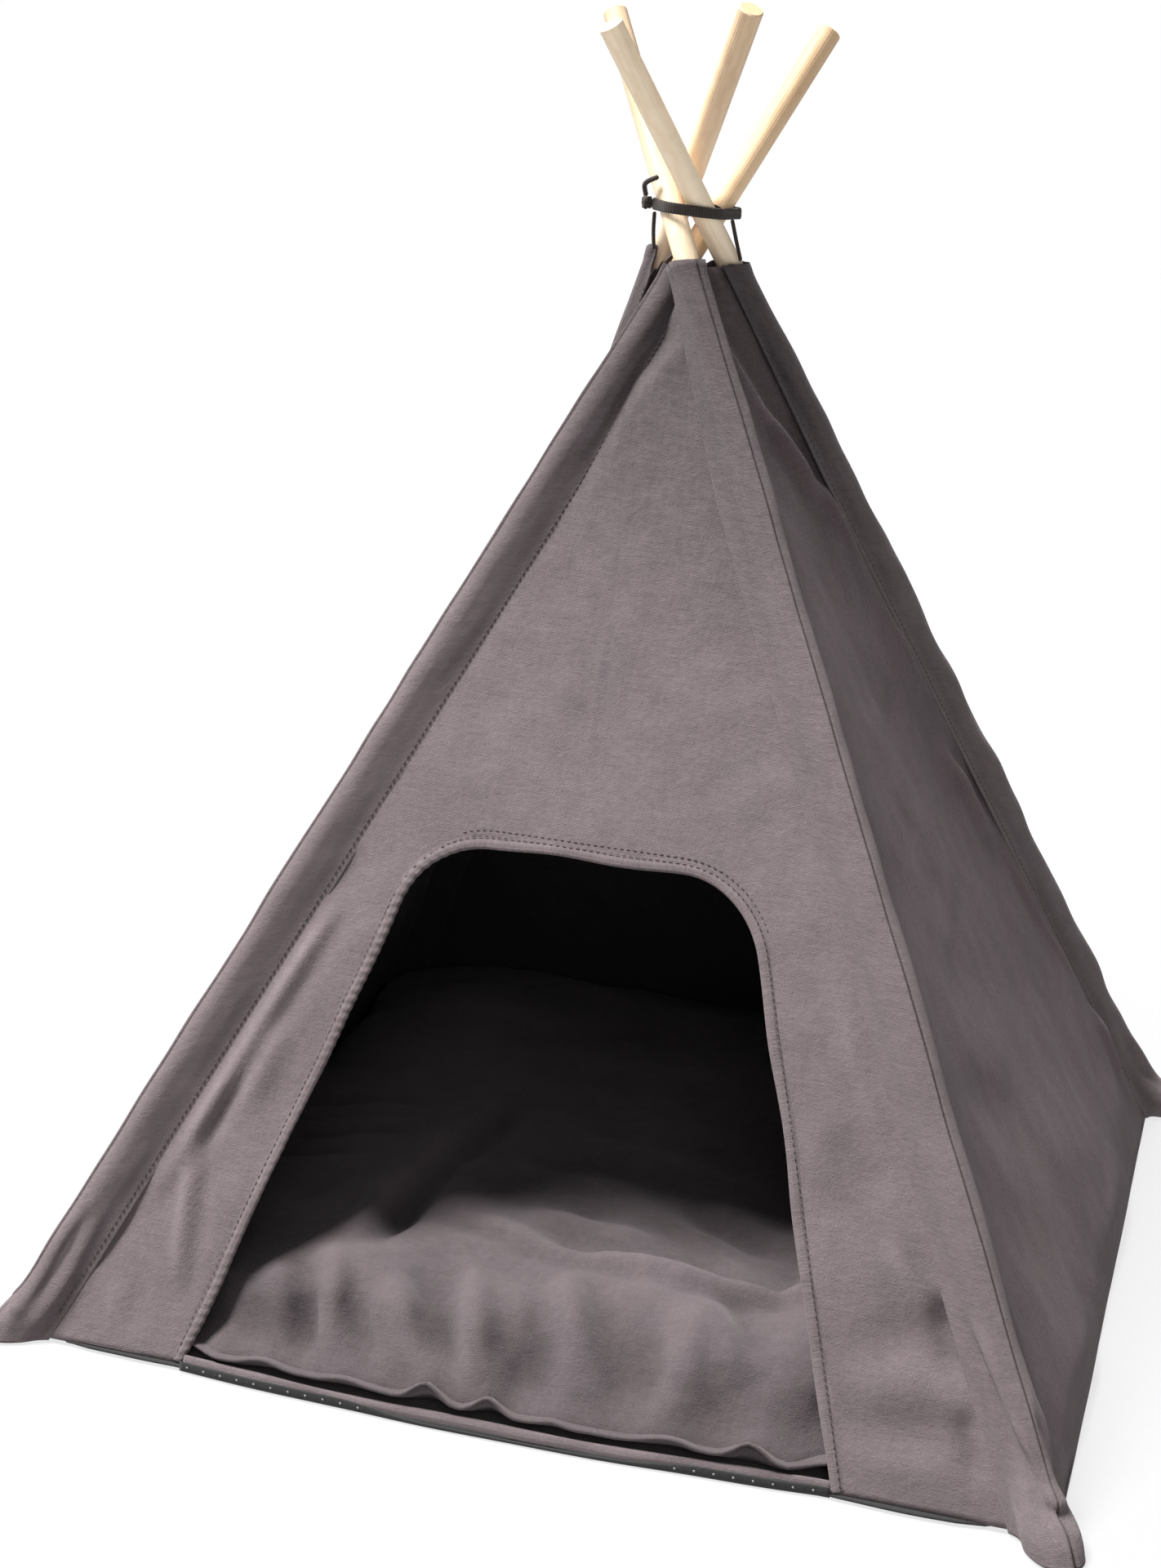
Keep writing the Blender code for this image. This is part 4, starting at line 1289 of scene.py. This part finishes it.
def make_band():
    """The flat braid round the poles: ribs slant both ways from a line along its middle."""
    line, outward, length = band_line()
    run, around = np.meshgrid(np.arange(len(line)) * length / len(line), circle(26), indexing="ij")
    c, s = np.cos(around), np.sin(around)
    lift = BAND_WIDTH / 2 * rounded(s, 0.75)
    slant = np.abs(lift) / (BAND_WIDTH / 2)
    ribs = round(length / BAND_RIB_PITCH)
    rib = 0.5 + 0.5 * np.cos(run * 2 * math.pi * ribs / length + 2.2 * slant)
    thick = BAND_THICKNESS / 2 + 0.00022 * rib * (slant < 0.92) - 0.0001 * bell(slant, 0, 0.12)
    outset = BAND_THICKNESS / 2 + thick * rounded(c, 0.7)
    edge = 0.00018 * rib * np.sign(s) * (slant > 0.6)
    plan = line[:, None] + outward[:, None] * outset[..., None]
    points = spread(plan[..., 0], plan[..., 1], BAND_HEIGHT - BAND_FALL * plan[..., 0] + lift + edge)
    band = tube("lashing_band_braid", points, spread(run, lift), BRAID, painted_light_and_wear=rib * 0.8, closed_path=True)
    settle(band, "lashing", ["lashing_band"])


def smooth_path(points, count):
    """A smooth line with even spacing through a few points."""
    points = np.array(points, float)
    ends = np.concatenate([[2 * points[0] - points[1]], points, [2 * points[-1] - points[-2]]])
    line = []
    for i in range(1, len(ends) - 2):
        before, a, b, after = ends[i - 1], ends[i], ends[i + 1], ends[i + 2]
        for t in np.linspace(0, 1, 16, endpoint=False):
            line.append(0.5 * (2 * a + (b - before) * t + (2 * before - 5 * a + 4 * b - after) * t**2
                               + (3 * a - before - 3 * b + after) * t**3))
    line.append(ends[-2])
    line = np.array(line)
    length = np.linalg.norm(np.diff(line, axis=0), axis=1).sum()
    return even_line(line, length / count)


def make_braid(name, points, diameter):
    """A round braid along a line of points: two sets of strands cross round it."""
    line = smooth_path(points, 90)
    ahead = unit(np.gradient(line, axis=0))
    upright = abs(ahead[0][2]) >= 0.9
    side = unit(np.cross(ahead, np.array([1.0, 0.2, 0] if upright else [0.31, 0.17, 0.93])))
    run, angle = np.meshgrid(run_along(line), circle(20), indexing="ij")
    twist = 2 * math.pi * run / BRAID_PITCH
    weave = np.sin(4 * angle + twist) * np.sin(4 * angle - twist)
    ends = smoothstep(0, 0.0006, run) * smoothstep(0, 0.0006, run[-1] - run)
    radius = diameter / 2 * (0.90 + 0.10 * weave) * (0.55 + 0.45 * ends)
    sections = rings_round(line, ahead, side, angle, radius)
    return tube(name, sections, spread(angle * diameter / 2, run), BRAID, painted_light_and_wear=np.clip(weave, 0, 1))


def make_knot():
    """An overhand knot: one closed turn of braid, pulled tight."""
    low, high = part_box("lashing_knot")
    centre = np.array((low + high) / 2)
    size = np.array(high - low) / 2
    along = circle(34)
    line = np.stack([
        0.62 * size[0] * (np.sin(along) + 0.6 * np.sin(2 * along)) / 1.3,
        0.62 * size[1] * (np.cos(along) - 0.6 * np.cos(2 * along)) / 1.3,
        -0.62 * size[2] * np.sin(3 * along),
    ], axis=-1) + centre
    ahead = unit(np.roll(line, -1, axis=0) - np.roll(line, 1, axis=0))
    side = unit(np.cross(ahead, unit(line - centre + 1e-6)))
    run, around = np.meshgrid(along, circle(14), indexing="ij")
    rib = np.cos(run * 17)
    sections = rings_round(line, ahead, side, around, KNOT_STRAND_RADIUS * (1 + 0.12 * rib))
    knot = tube("lashing_knot_braid", sections, spread(around * 0.001, run * 0.003), BRAID,
                painted_light_and_wear=0.5 + 0.5 * rib, closed_path=True)
    settle(knot, "lashing", ["lashing_knot"])
    return centre


def make_lashing():
    """The band, its knot and tail, the strand over it, and the two ties down to the sleeves."""
    make_band()
    knot = make_knot()
    curl = [(-0.0002, -0.0004, 0.0030), (-0.0010, -0.0012, 0.0078), (0.0008, -0.0030, 0.0098)]
    curl += [(0.0036, -0.0034, 0.0112), (0.0064, -0.0030, 0.0124)]
    strand = [(-0.0030, 0.0002, 0.5368), (0.0020, 0.0022, 0.5362), (0.0066, 0.0034, 0.5352)]
    strand += [(0.0100, 0.0042, 0.5338)]
    pieces = [("lashing_tail", [knot + np.array(bend) for bend in curl]), ("lashing_strand", strand)]
    for node, points in pieces:
        settle(make_braid(node + "_braid", points, BRAID_DIAMETER), "lashing", [node])
    left = [(-0.0205, -0.0080, 0.5320), (-0.0208, -0.0074, 0.5230), (-0.0204, -0.0066, 0.5140)]
    right = [(0.0178, -0.0046, 0.5300), (0.0202, -0.0036, 0.5200), (0.0226, -0.0022, 0.5105)]
    for side, bends, body in (("left", left, "front_frame"), ("right", right, "back_frame")):
        tie = make_braid("tie_" + side + "_braid", bends, BRAID_DIAMETER * 0.8)
        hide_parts("tie_" + side)
        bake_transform(tie)


# --- cushion -----------------------------------------------------------------------------------

PILLOW_CELLS = 84
PILLOW_SQUARENESS = 9
PILLOW_CAP = 0.016  # how far the filling may push any point of the cover
PILLOW_LOFT = 0.030  # from the seam up to the top, before filling
PILLOW_SAG = 0.0105  # from the seam down to the underside
FILL_FRAMES = 24


def pillow_start():
    """The two sides of the cover before filling: (points, faces, seam loop, flat places)."""
    n = PILLOW_CELLS
    a, b = np.meshgrid(np.linspace(-1, 1, n + 1), np.linspace(-1, 1, n + 1), indexing="xy")
    square = np.maximum(np.abs(a), np.abs(b))
    power = PILLOW_SQUARENESS
    round_ = (np.abs(a) ** power + np.abs(b) ** power) ** (1 / power)
    scale = np.where(square > 0, square / np.maximum(round_, 1e-9), 1) * (CUSHION_HALF - 0.002)
    x, y = a * scale, b * scale
    dome = 1 - square**6
    top = CUSHION_SEAM_HEIGHT + PILLOW_LOFT * dome
    low = CUSHION_SEAM_HEIGHT - PILLOW_SAG * (1 - square**8)
    rim = square >= 1 - 1e-6
    index = np.arange((n + 1) ** 2).reshape(n + 1, n + 1)
    under = np.where(rim, index, -1)
    under[~rim] = (n + 1) ** 2 + np.arange((~rim).sum())
    points = np.concatenate([spread(x, y, top).reshape(-1, 3), spread(x, y, low)[~rim]])
    flat = np.stack([x, y], axis=-1)
    flats = np.concatenate([flat.reshape(-1, 2), flat[~rim]])
    faces = []
    for r in range(n):
        for c in range(n):
            ring = [(r, c), (r, c + 1), (r + 1, c + 1), (r + 1, c)]
            faces.append([int(index[at]) for at in ring])
            faces.append([int(under[at]) for at in ring[::-1]])
    loop = list(index[0, :-1]) + list(index[:-1, -1]) + list(index[-1, :0:-1]) + list(index[:0:-1, 0])
    return points, faces, [int(i) for i in loop], flats


def fill_cushion(obj, seam):
    """Blows the cover up with cloth simulation, its seam gathered a little, and caps how far it swells."""
    group = obj.vertex_groups.new(name="gathered")
    group.add(seam, 1.0, "REPLACE")
    start = read_points(obj.data)
    cloth = obj.modifiers.new("Cloth", "CLOTH")
    settings = cloth.settings
    settings.quality = 7
    settings.mass = 0.25
    settings.tension_stiffness = 12
    settings.compression_stiffness = 6
    settings.shear_stiffness = 3
    settings.bending_stiffness = 0.15
    settings.use_pressure = True
    settings.uniform_pressure_force = 3.2
    settings.vertex_group_shrink = "gathered"
    settings.shrink_min = -0.055
    settings.shrink_max = 0.030
    settings.effector_weights.gravity = 0
    cloth.point_cache.frame_start = 1
    cloth.point_cache.frame_end = FILL_FRAMES
    scene = bpy.context.scene
    for number in range(1, FILL_FRAMES + 1):
        scene.frame_set(number)
    evaluated = obj.evaluated_get(bpy.context.evaluated_depsgraph_get())
    moved = read_points(evaluated.data) - start
    obj.modifiers.remove(cloth)
    scene.frame_set(1)
    far = np.linalg.norm(moved, axis=1, keepdims=True)
    moved = moved * np.minimum(1, PILLOW_CAP / np.maximum(far, 1e-9))
    obj.data.vertices.foreach_set("co", (start + moved).ravel())


def make_cushion():
    """The filled cushion in its cover, with the stitched edge round it."""
    points, faces, seam, flats = pillow_start()
    rng = np.random.default_rng(3)
    points[:, 2] += rng.normal(scale=0.0004, size=len(points))
    cushion = mesh_object("cushion_cover", points, faces)
    cushion.data.materials.append(CANVAS_CUSHION_PAINTED_SHADE)
    add_flat_map(cushion.data, flats)
    fill_cushion(cushion, seam)
    refine = cushion.modifiers.new("Finer", "SUBSURF")
    refine.levels = 1
    apply_modifiers(cushion)
    fit_cushion(cushion, seam)
    shape_cushion(cushion)
    settle(cushion, "cushion", ["cushion_top", "cushion_bottom", "cushion_filling"])
    make_flange(read_points(cushion.data)[seam])


# Where the front seam is gathered up off the floor: (across, how far it lifts, half width).
GATHERS = [
    (-0.178, 0.0030, 0.012),
    (-0.118, 0.0022, 0.010),
    (-0.075, 0.0018, 0.012),
    (-0.036, 0.0062, 0.0075),
    (-0.006, 0.0050, 0.0065),
    (0.024, 0.0012, 0.006),
    (0.078, 0.0022, 0.012),
    (0.114, 0.0060, 0.0085),
]
# The creases pressed into its top: the two ends, the width and how far it stands up.
CREASES = [
    # the ridge where the front slope meets the top
    ((0.010, -0.167), (-0.052, -0.150), 0.0070, 0.0058),
    ((0.072, -0.176), (0.000, -0.166), 0.0060, 0.0060),
    ((0.124, -0.170), (0.056, -0.176), 0.0060, 0.0052),
    # pleats of the front slope
    ((-0.026, -0.246), (-0.062, -0.204), 0.0060, -0.0066),
    ((-0.010, -0.242), (-0.042, -0.186), 0.0080, 0.0052),
    ((0.012, -0.252), (-0.026, -0.204), 0.0062, -0.0062),
    ((0.032, -0.246), (0.008, -0.186), 0.0085, 0.0050),
    ((0.054, -0.240), (0.020, -0.190), 0.0066, -0.0056),
    ((0.082, -0.244), (0.074, -0.194), 0.0100, 0.0046),
    ((0.112, -0.222), (0.086, -0.180), 0.0070, -0.0056),
    ((-0.064, -0.248), (-0.092, -0.214), 0.0060, -0.0052),
    ((-0.098, -0.244), (-0.122, -0.208), 0.0060, -0.0046),
    ((-0.084, -0.244), (-0.106, -0.196), 0.0070, 0.0044),
    # the long dent, and the puffed part on its left
    ((-0.088, -0.188), (-0.080, -0.100), 0.0080, -0.0105),
    ((-0.082, -0.116), (-0.070, -0.014), 0.0080, -0.0090),
    ((-0.128, -0.176), (-0.108, -0.130), 0.0100, 0.0040),
    ((-0.188, -0.066), (-0.100, -0.042), 0.0060, 0.0040),
    ((-0.184, -0.094), (-0.106, -0.074), 0.0060, -0.0040),
    ((-0.182, -0.130), (-0.112, -0.114), 0.0065, 0.0042),
    # the top
    ((-0.026, -0.126), (0.048, -0.136), 0.0110, 0.0050),
    ((0.040, -0.088), (0.106, -0.124), 0.0090, -0.0056),
    ((0.058, -0.140), (0.086, -0.172), 0.0060, -0.0040),
    ((-0.054, -0.092), (0.016, -0.080), 0.0090, 0.0040),
    ((-0.040, -0.040), (0.070, -0.056), 0.0120, 0.0046),
    ((0.100, -0.090), (0.160, -0.060), 0.0100, 0.0040),
    ((0.060, 0.060), (0.140, 0.020), 0.0200, 0.0040),
    ((-0.120, 0.080), (-0.030, 0.110), 0.0200, -0.0050),
    # the fold in the right-hand corner
    ((0.116, -0.182), (0.119, -0.088), 0.0060, 0.0056),
    ((0.138, -0.186), (0.138, -0.092), 0.0090, -0.0060),
]


def gather(x):
    """How far the front seam lifts off the floor."""
    return sum(rise * bell(x, middle, width) for middle, rise, width in GATHERS)


FRONT_SEAM = 0.2450  # how far in front of the middle it lies, before the bow of the doorway's foot
FRONT_SEAM_DROP = 0.0028  # how much lower the seam lies where it rests against the doorway's foot


def fit_cushion(cushion, seam):
    """Draws the filled cover out to its full size, with its front edge against the doorway's foot."""
    points = read_points(cushion.data)
    rim = points[seam]
    for axis in (0, 1):
        points[:, axis] *= CUSHION_HALF / np.percentile(np.abs(rim[:, axis]), 96)
    points[:, 2] += CUSHION_SEAM_HEIGHT - rim[:, 2].mean()
    x, y = points[:, 0], points[:, 1]
    doorway = between(-0.168, -0.140, 0.128, 0.154, x)
    front = points[seam]
    front = front[(front[:, 1] < -0.20) & (np.abs(front[:, 0]) < 0.20)]
    front = front[np.argsort(front[:, 0])]
    gap = FRONT_SEAM + bow(x) + np.interp(x, front[:, 0], front[:, 1])
    y -= gap * doorway * (1 - smoothstep(-0.232, -0.130, y))
    points[:, 2] -= FRONT_SEAM_DROP * doorway * (1 - smoothstep(-0.236, -0.205, y))
    cushion.data.vertices.foreach_set("co", points.ravel())


def shape_cushion(cushion):
    """Lays the cushion on the floor, with the dents and creases of use, and puckers its seam."""
    mesh = cushion.data
    points = read_points(mesh)
    normals = read_points(mesh, "normal")
    plan = points[:, :2].copy()
    x, y = plan[:, 0], plan[:, 1]
    above = smoothstep(CUSHION_SEAM_HEIGHT - 0.001, CUSHION_SEAM_HEIGHT + 0.014, points[:, 2])
    relief = 0.0034 * soft_noise(plan, 0.085, 101) + 0.0018 * soft_noise(plan, 0.034, 102)
    relief = relief + 0.0013 * soft_noise(plan, 0.019, 103) * (1 - 0.5 * smoothstep(-0.10, 0.0, y))
    relief = relief + folds(plan, CREASES)
    # Behind the front crease the top is slept flat.
    slept = between(-0.172, -0.156, -0.02, 0.10, y) * between(-0.10, -0.02, 0.09, 0.15, x)
    relief = relief - 0.0065 * slept
    points += normals * (above * relief)[:, None]
    # Each gather lifts the seam.
    points[:, 2] = np.maximum(points[:, 2] + bell(y, -0.250, 0.012) * gather(x), CUSHION_BOTTOM)
    mesh.vertices.foreach_set("co", points.ravel())
    # Painted light and shade: paler on the creases and puffs, painted shade in the dents and hollows.
    add_mark(mesh, "painted_light_and_wear", above * np.clip(relief / 0.0035, -1.8, 1.2))
    add_mark(mesh, "seam", np.zeros(len(points)))


def apply_modifiers(obj):
    """Makes the object's mesh what its modifiers show."""
    depsgraph = bpy.context.evaluated_depsgraph_get()
    mesh = bpy.data.meshes.new_from_object(obj.evaluated_get(depsgraph))
    obj.modifiers.clear()
    obj.data = mesh
    mesh.polygons.foreach_set("use_smooth", [True] * len(mesh.polygons))


def make_flange(loop):
    """The flat stitched edge outside the seam. It waves with the seam and curls where it is gathered."""
    spacing = 0.0030
    loop = even_line(np.concatenate([loop, loop[:1]]), spacing)[:-1]
    ahead = unit(np.roll(loop, -2, axis=0) - np.roll(loop, 2, axis=0))
    away = unit(np.stack([ahead[:, 1], -ahead[:, 0], np.zeros(len(loop))], axis=-1))
    distance = np.arange(len(loop)) * spacing
    x, y = loop[:, 0], loop[:, 1]
    front = between(-0.166, -0.146, 0.134, 0.150, x) * (y < -0.20)
    # At the doorway's foot the flange is pressed down to a narrow lip, which lifts where it is gathered.
    wave = 0.0016 * soft_noise(distance[:, None], 0.030, 111)
    lift = front * (0.7 * gather(x) - 0.0006) + (1 - front) * wave
    inset = 0.0030
    reach = (inset + CUSHION_FLANGE * (1 - 0.68 * front))[:, None]
    share = np.linspace(0, 1, 7)[:, None]
    points = loop + away * (share[..., None] * reach - inset)
    points[..., 2] += lift * share
    points[..., 2] = np.maximum(points[..., 2], CUSHION_BOTTOM + 0.0010) + 0.0007
    flange = shell("cushion_edge", points, spread(distance, share * 0.011), (CANVAS_CUSHION_PAINTED_SHADE,), 0.0015,
                   wrap=True, painted_light_and_wear=share * 0.4)
    settle(flange, "cushion", ["cushion_flange"])
    up = np.tile([0, 0, 1.0], (len(loop), 1))
    settle(stitches("stitches_cushion", points[4] + up * 0.0001, up, seed=9), "cushion")


# --- assembly ----------------------------------------------------------------------------------

add_camera()
add_studio()

for corner_name in CORNERS:
    wood = wood_material("pine_" + corner_name, pole_direction(corner_name), *POLE_TONES[corner_name])
    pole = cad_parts["pole_" + corner_name]
    pole.data.materials.clear()
    pole.data.materials.append(wood)
    make_sleeve(corner_name)

panels = {wall_name: make_wall(wall_name) for wall_name in WALLS}
hem_pieces = [make_hem()] + make_hem_stitches()
make_sill()
make_floor()
make_lashing()
make_cushion()
